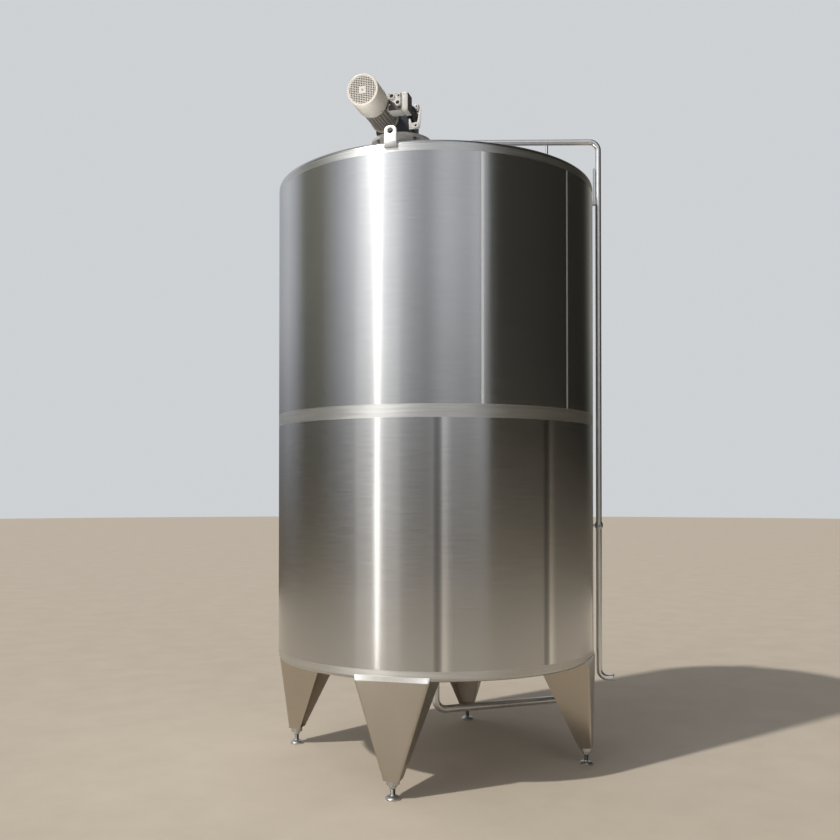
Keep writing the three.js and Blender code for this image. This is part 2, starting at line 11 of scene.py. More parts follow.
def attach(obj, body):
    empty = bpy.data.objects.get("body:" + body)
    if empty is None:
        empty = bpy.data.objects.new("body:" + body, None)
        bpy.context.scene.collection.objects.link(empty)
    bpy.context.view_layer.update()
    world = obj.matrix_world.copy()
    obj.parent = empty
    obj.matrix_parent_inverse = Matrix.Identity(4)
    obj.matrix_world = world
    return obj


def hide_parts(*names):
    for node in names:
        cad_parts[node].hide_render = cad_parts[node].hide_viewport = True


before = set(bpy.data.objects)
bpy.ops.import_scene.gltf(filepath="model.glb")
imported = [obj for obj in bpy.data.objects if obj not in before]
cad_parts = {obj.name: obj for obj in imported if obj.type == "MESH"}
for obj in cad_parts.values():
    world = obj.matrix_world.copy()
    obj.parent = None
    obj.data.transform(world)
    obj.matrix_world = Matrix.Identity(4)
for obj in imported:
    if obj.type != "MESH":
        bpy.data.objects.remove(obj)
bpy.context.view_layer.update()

# Vessel
SHELL_RADIUS = 1.025
SHELL_PLATE = 0.003
BASE_HEIGHT = 0.685
MID_HEIGHT = 2.175
RIM_HEIGHT = 3.665
END_SLOPE = math.radians(10)
END_STEPS = 10
ROOF_KNUCKLE = 0.025
FLOOR_KNUCKLE = 0.020
ROOF_PLATE = 0.003
FLOOR_PLATE = 0.004
LOWER_SEAMS = [-29, 9, 170]
UPPER_SEAMS = [-16, 18.5, 181]
COLUMN_ANGLE = 1.25

# Painted reflection beside an upright weld, where the plates' bent edges would mirror brighter or
# darker surroundings: (distance from the weld, share of the sheet's brightness), on the weld's right
# and on its left
UPPER_WELD_PAINTED_REFLECTION = ([(0.0, 1.30), (0.010, 1.25), (0.020, 1.0)],
              [(0.0, 0.88), (0.016, 0.95), (0.034, 1.0)])
LOWER_WELD_PAINTED_REFLECTION = ([(0.0, 1.25), (0.012, 1.60), (0.026, 1.50), (0.042, 1.20), (0.064, 1.0)],
              [(0.0, 1.10), (0.008, 0.80), (0.020, 0.58), (0.034, 0.62), (0.052, 1.0)])

# How far the upper course's upright welds are polished, to either side
UPPER_POLISH = 0.007

# How far the dressed bands reach over the plates
GIRTH_REACH = 0.038
RIM_BAND = 0.038
BASE_BAND = 0.040
KNUCKLE_BAND = 0.040

# Legs and feet
LEG_AZIMUTHS = {"front_left": -45, "front_right": 45, "rear_right": 135, "rear_left": 225}
LEG_PLATE = 0.004
LEG_FACE = 1.022
LEG_TOP_HALF_WIDTH = 0.229
LEG_TOP_DEPTH = 0.332
LEG_TOP_HEIGHT = 0.692
LEG_FOLD_HEIGHT = 0.662
LEG_FOLD_RADIUS = 0.014
LEG_FOOT_HALF_WIDTH = 0.048
LEG_FOOT_DEPTH = 0.082
LEG_FOOT_HEIGHT = 0.110
LEG_LAP_RADIUS = SHELL_RADIUS + 0.0003 + LEG_PLATE
SPINDLE_REACH = LEG_FACE - LEG_FOOT_DEPTH / 2
BOSS_BOTTOM = 0.082
BOSS_RADIUS = 0.038
THREAD_RADIUS = 0.014
THREAD_PITCH = 0.003
THREAD_TURNS = 18

# Lifting lugs
LUG_AZIMUTHS = {"front": -45, "rear": 135}
LUG_HALF_WIDTH = 0.036
LUG_BOTTOM = 3.652
LUG_TOP = 3.771
LUG_CORNER = 0.028
LUG_HOLE = 0.016
LUG_HOLE_DROP = 0.029
LUG_PLATE = 0.012
LUG_GAP = 0.0003

# Agitator drive, whose motor points to the front left leg
DRIVE_AZIMUTH = -45
DRIVE_SHAFT = (-0.194, -0.137)
NECK_RADIUS = 0.110
NECK_WALL = 0.006
FLANGE_BOTTOM = 3.990
FLANGE_TOP = 4.010
FLANGE_RADIUS = 0.197
FLANGE_BOLTS = 8
FLANGE_BOLT_REACH = 0.172
GEARBOX_FRONT = -0.173
GEARBOX_BACK = 0.107
GEARBOX_LEFT = -0.123
GEARBOX_RIGHT = 0.089
GEARBOX_FOOT_RIGHT = 0.124
GEARBOX_TOP = 4.255
GEARBOX_CHAMFER = 0.030
MOTOR_X = -0.061
MOTOR_HEIGHT = 4.110
MOTOR_CORE = 0.078
FIN_TIP = 0.089
FIN_COUNT = 28
FIN_ROOT_HALF = 0.0030
FIN_TIP_HALF = 0.0016
SHIELD_RADIUS = 0.095
SHIELD_BACK = 0.1733
SHIELD_FRONT = 0.195
SHIELD_BOLT_REACH = 0.083
COWL_BACK = 0.4413
COWL_FRONT = 0.6313
COWL_RADIUS = 0.0975
COWL_WALL = 0.003
COWL_EDGE = 0.004
GRILLE_RADIUS = 0.0835
GRILLE_PITCH = 0.0106
GRILLE_BAR = 0.0030
BOX_INSIDE = 0.0893
BOX_BODY = 0.176
BOX_LID = 0.181
BOX_OUTSIDE = 0.217
BOX_FRONT = 0.4083
BOX_LENGTH = 0.095
BOX_HALF_HEIGHT = 0.057

# Pipes
FILL_AZIMUTH = 59.1
FILL_RADIUS = 0.019
FILL_BEND = 0.057
FILL_NOZZLE_REACH = 0.200
FILL_DROP_REACH = 1.076
FILL_RUN_HEIGHT = 4.036
FILL_JOINT_HEIGHT = 3.944
FILL_END_HEIGHT = 0.500
FILL_END_REACH = 1.172
UNION_BOTTOM = 1.479
UNION_TOP = 1.523
OUTLET_AZIMUTH = 81
OUTLET_RADIUS = 0.0255
OUTLET_BEND = 0.076
OUTLET_HEIGHT = 0.283
OUTLET_REACH = 0.975
OUTLET_COLLAR = 0.060
TUBE_WALL = 0.002
FERRULE_LIP = 0.007
FERRULE_THICKNESS = 0.006
TUBE_STEPS = 40

# Manway
MANWAY_AZIMUTH = 165
MANWAY_REACH = 0.590
MANWAY_RADIUS = 0.225
MANWAY_TOP = 3.885

# Floor
NEAR_FLOOR = 10.0
FAR_FLOOR = 60.0

# What the steel mirrors: (azimuth, brightness) of the soft panels around the tank
PANELS = [
    (-180, 0.44), (-162, 0.60), (-148, 0.42), (-137, 0.17), (-119, 0.20), (-104, 0.42), (-90, 0.74),
    (-78, 0.95), (-70, 1.0), (-60, 0.82), (-46, 0.50),
    (-37, 0.38), (-26, 0.62), (-19, 0.60), (-9, 0.50), (0, 0.66), (4, 0.55), (7, 0.09), (13, 0.038),
    (60, 0.025), (102, 0.020), (110, 0.07), (122, 0.26), (135, 0.40), (150, 0.50), (170, 0.40),
]
# (height of the direction, share of the panel's brightness)
PANEL_HEIGHTS = [(0.0, 0.34), (0.08, 0.54), (0.17, 1.00), (0.30, 1.18), (0.60, 1.18), (0.95, 0.80)]
# Bright panels are cool and dim ones are warm, as the far ground is
BRIGHT_TINT = (0.98, 1.01, 1.08)
DIM_TINT = (1.0, 1.0, 0.86)
DIM_BELOW = 0.3
FAR_GROUND = (0.138, 0.117, 0.090)
BACKDROP = (0.62, 0.64, 0.66)

# Lights
WARM = (1.0, 0.97, 0.92)
KEY_AZIMUTH = -83
KEY_ELEVATION = 46
STRIP_PLACE = (-3.626, -1.609, 2.77)
STRIP_TURN = -71.7
STRIP_HEIGHT = 5.28
BOUNCE_PLACE = (-0.80, -0.45, 3.80)
BOUNCE_AIM = (-0.62, -0.28, 4.11)


# Shapes: points and faces
def on_circle(azimuth, radius, height):
    """The point at an azimuth and a distance from the axis."""
    angle = math.radians(azimuth)
    return Vector((radius * math.sin(angle), -radius * math.cos(angle), height))


def lathe(profile, steps=TUBE_STEPS, base=0.0):
    """Turns a profile of (radius, height over the base) pairs about Z. The profile closes on itself
    or ends on the axis."""
    points = []
    rings = []
    for radius, height in profile:
        if radius == 0:
            rings.append([len(points)] * steps)
            points.append((0, 0, base + height))
            continue
        rings.append(list(range(len(points), len(points) + steps)))
        points += [on_circle(360 * i / steps, radius, base + height) for i in range(steps)]
    closed = profile[0][0] > 0
    count = len(rings)
    faces = []
    for k in range(count if closed else count - 1):
        low, high = rings[k], rings[(k + 1) % count]
        for i in range(steps):
            j = (i + 1) % steps
            corners = list(dict.fromkeys([low[i], low[j], high[j], high[i]]))
            if len(corners) > 2:
                faces.append(corners)
    return points, faces


def prism(outline, front, back):
    """An outline of (x, z) pairs, from the Y of its front face to the Y of its back face."""
    count = len(outline)
    points = [(x, front, z) for x, z in outline] + [(x, back, z) for x, z in outline]
    faces = [list(range(count)), list(range(2 * count - 1, count - 1, -1))]
    for i in range(count):
        j = (i + 1) % count
        faces.append([i, i + count, j + count, j])
    return points, faces


def box(low, high):
    return prism([(low[0], low[2]), (high[0], low[2]), (high[0], high[2]), (low[0], high[2])],
                 low[1], high[1])


def rod(radius, bottom, top, steps=TUBE_STEPS, edge=0.0):
    return ring(0, radius, bottom, top, steps, edge)


def ring(inner, outer, bottom, top, steps=TUBE_STEPS, edge=0.0):
    """A ring whose outer edges are taken off."""
    return lathe([
        (inner, bottom), (outer - edge, bottom), (outer, bottom + edge),
        (outer, top - edge), (outer - edge, top), (inner, top)], steps)


def sheet(outer, inner, wraps=False):
    """A sheet between two grids of points, each a list of columns. wraps joins its last column to its
    first. The third result is each face's (side, column, row); side is outer, inner or rim."""
    columns, rows = len(outer), len(outer[0])
    points = [point for column in outer + inner for point in column]
    back = columns * rows
    last = columns if wraps else columns - 1
    faces = []
    spots = []
    for i in range(last):
        a, b = i * rows, (i + 1) % columns * rows
        for j in range(rows - 1):
            faces.append([a + j, b + j, b + j + 1, a + j + 1])
            faces.append([back + a + j, back + a + j + 1, back + b + j + 1, back + b + j])
            spots += [("outer", i, j), ("inner", i, j)]
        for j in (0, rows - 1):
            faces.append([a + j, back + a + j, back + b + j, b + j])
            spots.append(("rim", i, j))
    ends = () if wraps else (0, last)
    for i in ends:
        a = i * rows
        for j in range(rows - 1):
            faces.append([a + j, a + j + 1, back + a + j + 1, back + a + j])
            spots.append(("rim", i, j))
    return points, faces, spots


def joined(shapes):
    """Several shapes as one."""
    points = []
    faces = []
    for more_points, more_faces in shapes:
        first = len(points)
        points += more_points
        faces += [[first + i for i in face] for face in more_faces]
    return points, faces


# Places
def at(x, y, z):
    return Matrix.Translation((x, y, z))


def turned(degrees, axis="Z"):
    """A turn round an axis. Round Z, it takes what is drawn in front, at -Y, to its azimuth."""
    return Matrix.Rotation(math.radians(degrees), 4, axis)


def lying(reach, height, x=0):
    """Lays a lathe's axis along -Y, its height becoming the distance past the reach."""
    return at(x, -reach, height) @ turned(90, "X")


def turns(count, axis="Z", first=0):
    """Equal turns round an axis; first is the share of one turn that they begin with."""
    return [turned(360 * (i + first) / count, axis) for i in range(count)]


# Pieces
def put(name, data):
    """Puts an object with its data into the scene."""
    thing = bpy.data.objects.new(name, data)
    bpy.context.scene.collection.objects.link(thing)
    return thing


class Form:
    """The points, faces and finishes of one piece. finish is for the faces that name no other."""

    def __init__(self, finish):
        self.finish = finish
        self.points = []
        self.faces = []
        self.finishes = []

    def add(self, shape, place=Matrix(), finish=None):
        """Adds a shape at its place. finish is one material, or a list with one for each face."""
        points, faces = shape
        first = len(self.points)
        self.points += [place @ Vector(point) for point in points]
        self.faces += [[first + i for i in face] for face in faces]
        if isinstance(finish, list):
            self.finishes += finish
        else:
            self.finishes += [finish or self.finish] * len(faces)
        return self


def finish_edges(mesh, edge, corner):
    """Joins doubled points, rounds the corners by edge and smooths what is flatter than a corner."""
    work = bmesh.new()
    work.from_mesh(mesh)
    bmesh.ops.remove_doubles(work, verts=work.verts, dist=1e-6)
    bmesh.ops.recalc_face_normals(work, faces=work.faces)
    if edge:
        corners = [line for line in work.edges if line.calc_face_angle(0) > corner]
        bmesh.ops.bevel(work, geom=corners, offset=edge, segments=2, profile=0.5,
                        affect="EDGES", clamp_overlap=True)
    for line in work.edges:
        line.smooth = line.calc_face_angle(0) < corner
    for face in work.faces:
        face.smooth = True
    work.to_mesh(mesh)
    work.free()


def add_sheet_maps(mesh, left_weld, right_weld):
    """Two maps of a rolled plate. grain runs first up the plate, across the brushed grain, and welds
    holds the distances from the plate's left and right welds."""
    grain = mesh.uv_layers.new(name="grain")
    welds = mesh.uv_layers.new(name="welds")
    whole = math.radians(right_weld - left_weld) * SHELL_RADIUS
    for loop in mesh.loops:
        x, y, z = mesh.vertices[loop.vertex_index].co
        azimuth = math.degrees(math.atan2(x, -y))
        past = (azimuth - left_weld + 180) % 360 - 180
        if past < -0.01:
            past += 360
        from_left = math.radians(past) * SHELL_RADIUS
        grain.data[loop.index].uv = (z, math.radians(azimuth) * SHELL_RADIUS)
        welds.data[loop.index].uv = (from_left, whole - from_left)


def add_piece(name, form, stands_for=(), edge=0.0, sharp=32, welds=None):
    """Makes a form into an object that stands for CAD nodes. edge rounds its corners, sharp is a
    corner's least angle, and welds are the azimuths of a rolled plate's upright welds."""
    mesh = bpy.data.meshes.new(name)
    mesh.from_pydata(form.points, [], form.faces)
    finishes = list(dict.fromkeys([form.finish, *form.finishes]))
    for finish in finishes:
        mesh.materials.append(finish)
    mesh.polygons.foreach_set("material_index", [finishes.index(finish) for finish in form.finishes])
    finish_edges(mesh, edge, math.radians(sharp))
    if welds:
        add_sheet_maps(mesh, *welds)
    piece = put(name, mesh)
    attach(piece, "root")
    if stands_for:
        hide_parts(*stands_for)


# Materials
def shade(colour):
    return (*colour, 1.0)


class Nodes:
    """Short calls for building a node tree."""

    def __init__(self, tree):
        self.tree = tree

    def feed(self, node, inputs):
        """Sets a node's inputs, by name or number, to plain values or to other nodes' outputs."""
        for key, value in dict(inputs).items():
            if isinstance(value, bpy.types.NodeSocket):
                self.tree.links.new(value, node.inputs[key])
            else:
                node.inputs[key].default_value = value

    def new(self, kind, inputs=(), **settings):
        node = self.tree.nodes.new(kind)
        for key, value in settings.items():
            setattr(node, key, value)
        self.feed(node, inputs)
        return node

    def output(self, name, kind, inputs=(), **settings):
        """Adds a node and returns the output of that name or number."""
        return self.new(kind, inputs, **settings).outputs[name]

    def noise(self, scale, stretch=(1, 1, 1), detail=3.0, roughness=0.55):
        """Noise in the part's own coordinates, squeezed along each axis by stretch."""
        coords = self.output("Object", "ShaderNodeTexCoord")
        place = self.output("Vector", "ShaderNodeMapping", {"Vector": coords, "Scale": stretch})
        return self.output("Fac", "ShaderNodeTexNoise", {
            "Vector": place, "Scale": scale, "Detail": detail, "Roughness": roughness})

    def span(self, value, low, high, start=0.3, end=0.7):
        """Maps a value between start and end to low and high."""
        return self.output("Result", "ShaderNodeMapRange", {
            "Value": value, "From Min": start, "From Max": end, "To Min": low, "To Max": high})

    def ramp(self, value, stops):
        """Goes through (position, colour) stops as a value rises."""
        node = self.new("ShaderNodeValToRGB", {"Fac": value})
        elements = node.color_ramp.elements
        while len(elements) < len(stops):
            elements.new(1.0)
        for element, (position, colour) in zip(elements, stops):
            element.position = position
            element.color = shade(colour)
        return node.outputs["Color"]

    def mix(self, share, first, second, data_type="RGBA", blend_type="MIX"):
        """Goes from the first to the second by a share, or multiplies them."""
        return self.output("Result", "ShaderNodeMix", {"Factor": share, "A": first, "B": second},
                           data_type=data_type, blend_type=blend_type)

    def painted_reflection_beside_weld(self, colour, side, shares):
        """Paints reflection beside a weld: dims or brightens a colour by the distance from the weld at a
        plate's left, which is side X of its map, or at its right, which is side Y."""
        reach = shares[-1][0]
        distances = self.output("UV", "ShaderNodeUVMap", uv_map="welds")
        distance = self.output(side, "ShaderNodeSeparateXYZ", {"Vector": distances})
        levels = self.ramp(self.span(distance, 0.0, 1.0, 0.0, reach),
                           [(past / reach, (share,) * 3) for past, share in shares])
        return self.mix(1.0, colour, levels, blend_type="MULTIPLY")


def surface(name, dark, light, rough, stretch=(1, 1, 1), scale=60, metallic=1.0,
            bump=0.0, bump_scale=200.0, bump_stretch=(1, 1, 1), anisotropic=0.0,
            wave=0.0, blotch=0.5, dirt=None, painted_reflection=()):
    """A surface whose colour wanders between dark and light, and its roughness between two values."""
    material = bpy.data.materials.new(name)
    material.use_nodes = True
    nodes = Nodes(material.node_tree)
    shader = material.node_tree.nodes["Principled BSDF"]

    streaks = nodes.noise(scale, stretch)
    wander = nodes.mix(blotch, streaks, nodes.noise(2.3, detail=4.0), data_type="FLOAT")
    colour = nodes.ramp(wander, [(0.3, dark), (0.7, light)])
    if dirt:
        tint, most = dirt
        spots = nodes.noise(7.0, detail=8.0, roughness=0.7)
        colour = nodes.mix(nodes.span(spots, 0.0, most, 0.5, 0.75), colour, shade(tint))
    # painted reflection beside the upright welds: the sheet's colour brightens on one side of a weld and
    # darkens on the other
    for side, shares in zip("XY", painted_reflection):
        colour = nodes.painted_reflection_beside_weld(colour, side, shares)
    nodes.feed(shader, {
        "Base Color": colour, "Roughness": nodes.span(streaks, *rough), "Metallic": metallic})

    # fine relief, over the shallow upright waves of a rolled sheet, which is never quite round
    above = shader
    for depth, size, squeeze in ((bump, bump_scale, bump_stretch), (wave, 5.5, (1, 1, 0.06))):
        if depth:
            relief = nodes.new("ShaderNodeBump", {
                "Distance": depth, "Height": nodes.noise(size, squeeze, detail=2.0)})
            nodes.feed(above, {"Normal": relief.outputs["Normal"]})
            above = relief
    if anisotropic:
        tangent = nodes.output("Tangent", "ShaderNodeTangent", direction_type="UV_MAP", uv_map="grain")
        nodes.feed(shader, {"Tangent": tangent, "Anisotropic": anisotropic})
    return material


# each brushed sheet carries painted reflection beside its upright welds
BRUSHED = {
    course: surface(f"brushed_{course}_sheet", (0.54, 0.54, 0.53), (0.64, 0.64, 0.63), (0.19, 0.235),
                    stretch=(0.12, 0.12, 9), anisotropic=0.72, wave=0.0010, blotch=0.35, painted_reflection=painted_reflection)
    for course, painted_reflection in (("lower", LOWER_WELD_PAINTED_REFLECTION), ("upper", UPPER_WELD_PAINTED_REFLECTION))}
POLISHED = surface("polished_weld", (0.84, 0.84, 0.83), (0.95, 0.95, 0.94), (0.22, 0.30),
                   stretch=(1, 1, 0.05), metallic=0.5, anisotropic=0.5)
DRESSED = surface("dressed_weld", (0.61, 0.61, 0.59), (0.79, 0.79, 0.76), (0.34, 0.44),
                  stretch=(0.05, 0.05, 1.3), bump=0.00006, bump_scale=260,
                  bump_stretch=(0.3, 0.3, 2.5), anisotropic=0.4)
KNUCKLE = surface("dressed_knuckle", (0.50, 0.50, 0.49), (0.60, 0.60, 0.58), (0.20, 0.27),
                  stretch=(0.05, 0.05, 1.3))
ROOF_STEEL = surface("roof_sheet", (0.54, 0.54, 0.53), (0.64, 0.64, 0.63), (0.31, 0.34), scale=8,
                     wave=0.0002)
LEG_STEEL = surface("leg_plate", (0.48, 0.44, 0.38), (0.54, 0.495, 0.43), (0.295, 0.305),
                    stretch=(1, 1, 0.3), scale=6)
LEG_INSIDE = surface("leg_inside", (0.60, 0.53, 0.44), (0.72, 0.64, 0.54), (0.55, 0.65), scale=25,
                     metallic=0.3)
LAP = surface("dressed_lap", (0.74, 0.74, 0.72), (0.88, 0.88, 0.86), (0.50, 0.60),
              scale=70, metallic=0.4, blotch=0.3, bump=0.00008)
FITTING = surface("fitting_steel", (0.50, 0.50, 0.49), (0.66, 0.66, 0.64), (0.26, 0.40),
                  scale=90, bump=0.00004, bump_scale=400)
FLANGE_STEEL = surface("turned_flange", (0.62, 0.61, 0.59), (0.76, 0.75, 0.73), (0.46, 0.56),
                       metallic=0.25, bump=0.00005, bump_scale=300)
DARKER_WELD = surface("darker_weld", (0.40, 0.39, 0.39), (0.56, 0.55, 0.54), (0.5, 0.62),
                      scale=150, metallic=0.8, bump=0.0001, bump_scale=300)
LUG_STEEL = surface("lug_plate", (0.72, 0.71, 0.70), (0.86, 0.85, 0.84), (0.42, 0.54),
                    scale=120, bump=0.00005, bump_scale=500)
THREAD = surface("thread_steel", (0.20, 0.19, 0.17), (0.36, 0.35, 0.33), (0.36, 0.5), scale=150)
PIPE = surface("pipe_tube", (0.76, 0.76, 0.75), (0.88, 0.88, 0.87), (0.28, 0.38),
               stretch=(1, 1, 0.1), scale=50)
DARK_PAINT = surface("motor_paint", (0.26, 0.24, 0.225), (0.54, 0.50, 0.465), (0.5, 0.7),
                     metallic=0.0, scale=110, blotch=0.2, bump=0.0003, bump_scale=300,
                     dirt=((0.55, 0.51, 0.46), 0.6))
COWL_PAINT = surface("cowl_paint", (0.74, 0.70, 0.64), (0.86, 0.82, 0.76), (0.30, 0.42),
                     metallic=0.0, scale=45, bump=0.00006, bump_scale=500,
                     dirt=((0.50, 0.46, 0.40), 0.35))
BOX_PAINT = surface("terminal_box_paint", (0.64, 0.63, 0.60), (0.78, 0.77, 0.74), (0.34, 0.48),
                    metallic=0.0, scale=45, bump=0.0001, bump_scale=420,
                    dirt=((0.44, 0.42, 0.38), 0.4))
# painted shade: a near-black copy of the box's paint, for the box faces where shade falls
BOX_PAINTED_SHADE = surface("terminal_box_painted_shade", (0.035, 0.030, 0.032), (0.075, 0.066, 0.066), (0.4, 0.55),
                    metallic=0.0, scale=45, bump=0.0001, bump_scale=420,
                    dirt=((0.30, 0.27, 0.24), 0.3))
GEARBOX_PAINT = surface("gearbox_paint", (0.018, 0.021, 0.030), (0.045, 0.050, 0.065), (0.42, 0.6),
                        metallic=0.0, bump=0.0003, bump_scale=260, dirt=((0.16, 0.15, 0.14), 0.4))
# black rubber for the seal between the box and its lid, and painted shade for holes, bores and the cowl's
# inside
BLACK = surface("black_rubber_and_painted_hole_shade", (0.012, 0.012, 0.012), (0.03, 0.03, 0.03), (0.5, 0.7), metallic=0.0,
                scale=30)
FLOOR = surface("pale_floor", (0.545, 0.47, 0.375), (0.605, 0.525, 0.425), (0.95, 1.0), metallic=0.0,
                scale=3, bump=0.0004, bump_scale=60)


# Vessel
def rolled_plate(course, start, end, rows, polish):
    """A plate between two azimuths; rows are (height, dressed up to the next row) pairs, and polish
    is how far its upright edges are polished."""
    edge = math.degrees(polish / SHELL_RADIUS)
    wide = end - start - 2 * edge
    steps = math.ceil(wide / COLUMN_ANGLE)
    azimuths = [start + edge + wide * i / steps for i in range(steps + 1)]
    if polish:
        azimuths = [start] + azimuths + [end]
    edge_columns = (0, len(azimuths) - 2) if polish else ()

    def finish(side, column, row):
        if side == "rim" or side == "outer" and rows[row][1]:
            return DRESSED
        if side == "outer" and column in edge_columns:
            return POLISHED
        return BRUSHED[course]

    outer, inner = (
        [[on_circle(azimuth, radius, height) for height, _ in rows] for azimuth in azimuths]
        for radius in (SHELL_RADIUS, SHELL_RADIUS - SHELL_PLATE))
    points, faces, spots = sheet(outer, inner)
    return Form(BRUSHED[course]).add((points, faces), finish=[finish(*spot) for spot in spots])


def add_shell():
    for course, low, high, low_band, high_band, polish, (first, second, third) in (
            ("lower", BASE_HEIGHT, MID_HEIGHT, BASE_BAND, GIRTH_REACH, 0, LOWER_SEAMS),
            ("upper", MID_HEIGHT, RIM_HEIGHT, GIRTH_REACH, RIM_BAND, UPPER_POLISH, UPPER_SEAMS)):
        rows = [(low, True), (low + low_band, False), (high - high_band, True), (high, True)]
        for side, start, end in (
                ("closing", first, second), ("right", second, third), ("left", third, first + 360)):
            add_piece(f"{course}_{side}_sheet", rolled_plate(course, start, end, rows, polish),
                      [f"shell_{course}_{side}_plate"], welds=(start, end))


def end_surface(rim, knuckle, inset, up):
    """One surface of an end from its rim to the axis; up is 1 for the roof and -1 for the floor."""
    reach = knuckle - inset
    sweep = math.pi / 2 - END_SLOPE
    line = []
    for i in range(END_STEPS + 1):
        angle = sweep * i / END_STEPS
        line.append((SHELL_RADIUS - knuckle + reach * math.cos(angle), rim + up * reach * math.sin(angle)))
    radius, height = line[-1]
    line.append((radius - KNUCKLE_BAND, height + up * KNUCKLE_BAND * math.tan(END_SLOPE)))
    line.append((0, height + up * radius * math.tan(END_SLOPE)))
    return line


def add_end(name, node, rim, knuckle, plate, up):
    outside = end_surface(rim, knuckle, 0, up)
    inside = end_surface(rim, knuckle, plate, up)
    points, faces = lathe(outside + inside[::-1], 192)
    band = outside[-2][0] - 0.001
    finishes = []
    for face in faces:
        x, y, _ = sum((Vector(points[k]) for k in face), Vector()) / len(face)
        finishes.append(KNUCKLE if math.hypot(x, y) > band else ROOF_STEEL)
    form = Form(ROOF_STEEL).add((points, faces), finish=finishes)
    add_piece(name, form, [node], sharp=50)


def floor_height(radius):
    """Height of the floor's outer surface; past the shell there is none."""
    past = radius - (SHELL_RADIUS - FLOOR_KNUCKLE)
    if past >= FLOOR_KNUCKLE:
        return math.inf
    corner, height = end_surface(BASE_HEIGHT, FLOOR_KNUCKLE, 0, -1)[END_STEPS]
    if radius > corner:
        return BASE_HEIGHT - math.sqrt(FLOOR_KNUCKLE ** 2 - past ** 2)
    return height - (corner - radius) * math.tan(END_SLOPE)


def roof_height(radius):
    corner, height = end_surface(RIM_HEIGHT, ROOF_KNUCKLE, 0, 1)[END_STEPS]
    return height + (corner - radius) * math.tan(END_SLOPE)


# Legs
def leg_front(x, height):
    """How far the front plate stands from the axis: flat up to its fold, then drawn round the shell."""
    share = max(0.0, height - LEG_FOLD_HEIGHT) / (LEG_TOP_HEIGHT - LEG_FOLD_HEIGHT)
    return LEG_FACE + share * (math.sqrt(LEG_LAP_RADIUS ** 2 - x ** 2) - LEG_FACE)


def leg_point(place, height):
    """A point of the leg's outer face. place runs from -2, the left flange's rear edge, over -1 and
    1, where the side folds begin, to 2."""
    share = (height - LEG_FOOT_HEIGHT) / (LEG_TOP_HEIGHT - LEG_FOOT_HEIGHT)
    half = LEG_FOOT_HALF_WIDTH + share * (LEG_TOP_HALF_WIDTH - LEG_FOOT_HALF_WIDTH)
    depth = LEG_FOOT_DEPTH + share * (LEG_TOP_DEPTH - LEG_FOOT_DEPTH)
    side = math.copysign(1, place)
    along = abs(place)
    if along <= 1:
        x = place * (half - LEG_FOLD_RADIUS)
        return Vector((x, -leg_front(x, height), height))
    if along <= 1.5:
        turn = (along - 1) * math.pi
        x = half - LEG_FOLD_RADIUS * (1 - math.sin(turn))
        return Vector((side * x, LEG_FOLD_RADIUS * (1 - math.cos(turn)) - leg_front(x, height), height))
    start = LEG_FOLD_RADIUS - leg_front(half, height)
    return Vector((side * half, start + (along - 1.5) * 2 * (depth - LEG_FACE - start), height))


def leg_top(place):
    """Height at which a line up the leg ends: at the tank, or at the top of the lap."""
    low, high = LEG_FOOT_HEIGHT, LEG_TOP_HEIGHT
    for _ in range(30):
        height = (low + high) / 2
        point = leg_point(place, height)
        if height < floor_height(math.hypot(point.x, point.y)):
            low = height
        else:
            high = height
    return low


def leg_plate():
    """The folded plate with its lap: its points, its faces and a finish for each face."""
    folds = [1 + 0.5 * i / 6 for i in range(7)]
    right = [0.2, 0.4, 0.6, 0.8, 0.92] + folds + [1.55, 1.65, 1.75, 1.9, 2.0]
    places = [-place for place in reversed(right)] + [0] + right
    rows = 14
    lap_rows = 4
    outer = []
    for place in places:
        top = leg_top(place)
        knee = min(LEG_FOLD_HEIGHT, top - 0.004)
        heights = [LEG_FOOT_HEIGHT + (knee - 0.006 - LEG_FOOT_HEIGHT) * i / rows for i in range(rows + 1)]
        heights += [knee + (top - knee) * i / lap_rows for i in range(lap_rows + 1)]
        outer.append([leg_point(place, height) for height in heights])
    inner = []
    for column, before, after in zip(outer, outer[:1] + outer, outer[1:] + outer[-1:]):
        across = [right_end - left_end for left_end, right_end in zip(before, after)]
        inner.append([point + Vector((-line.y, line.x, 0)).normalized() * LEG_PLATE
                      for point, line in zip(column, across)])

    def finish(side, column, row):
        if side == "inner":
            return LEG_INSIDE
        # the lap is dressed, up to the middle of either side fold
        is_lap = side == "outer" and row > rows and max(map(abs, places[column:column + 2])) <= 1.25
        return LAP if is_lap else LEG_STEEL

    points, faces, spots = sheet(outer, inner)
    return points, faces, [finish(*spot) for spot in spots]


def add_leg(corner, turn, under):
    points, faces, finishes = leg_plate()
    leg = Form(LEG_STEEL).add((points, faces), turn, finishes)
    half = LEG_FOOT_HALF_WIDTH - 0.0005
    leg.add(box((-half, -LEG_FACE + 0.001, LEG_FOOT_HEIGHT),
                (half, -LEG_FACE + LEG_FOOT_DEPTH, LEG_FOOT_HEIGHT + 0.006)), turn)
    leg.add(ring(THREAD_RADIUS + 0.001, BOSS_RADIUS, BOSS_BOTTOM, LEG_FOOT_HEIGHT, edge=0.003), under,
            FITTING)
    bead = [(BOSS_RADIUS - 0.001, -0.005), (BOSS_RADIUS + 0.0025, -0.0005), (BOSS_RADIUS - 0.001, -0.0001)]
    leg.add(lathe(bead, base=LEG_FOOT_HEIGHT), under, FITTING)
    add_piece(f"folded_leg_{corner}", leg, [f"leg_{corner}"])


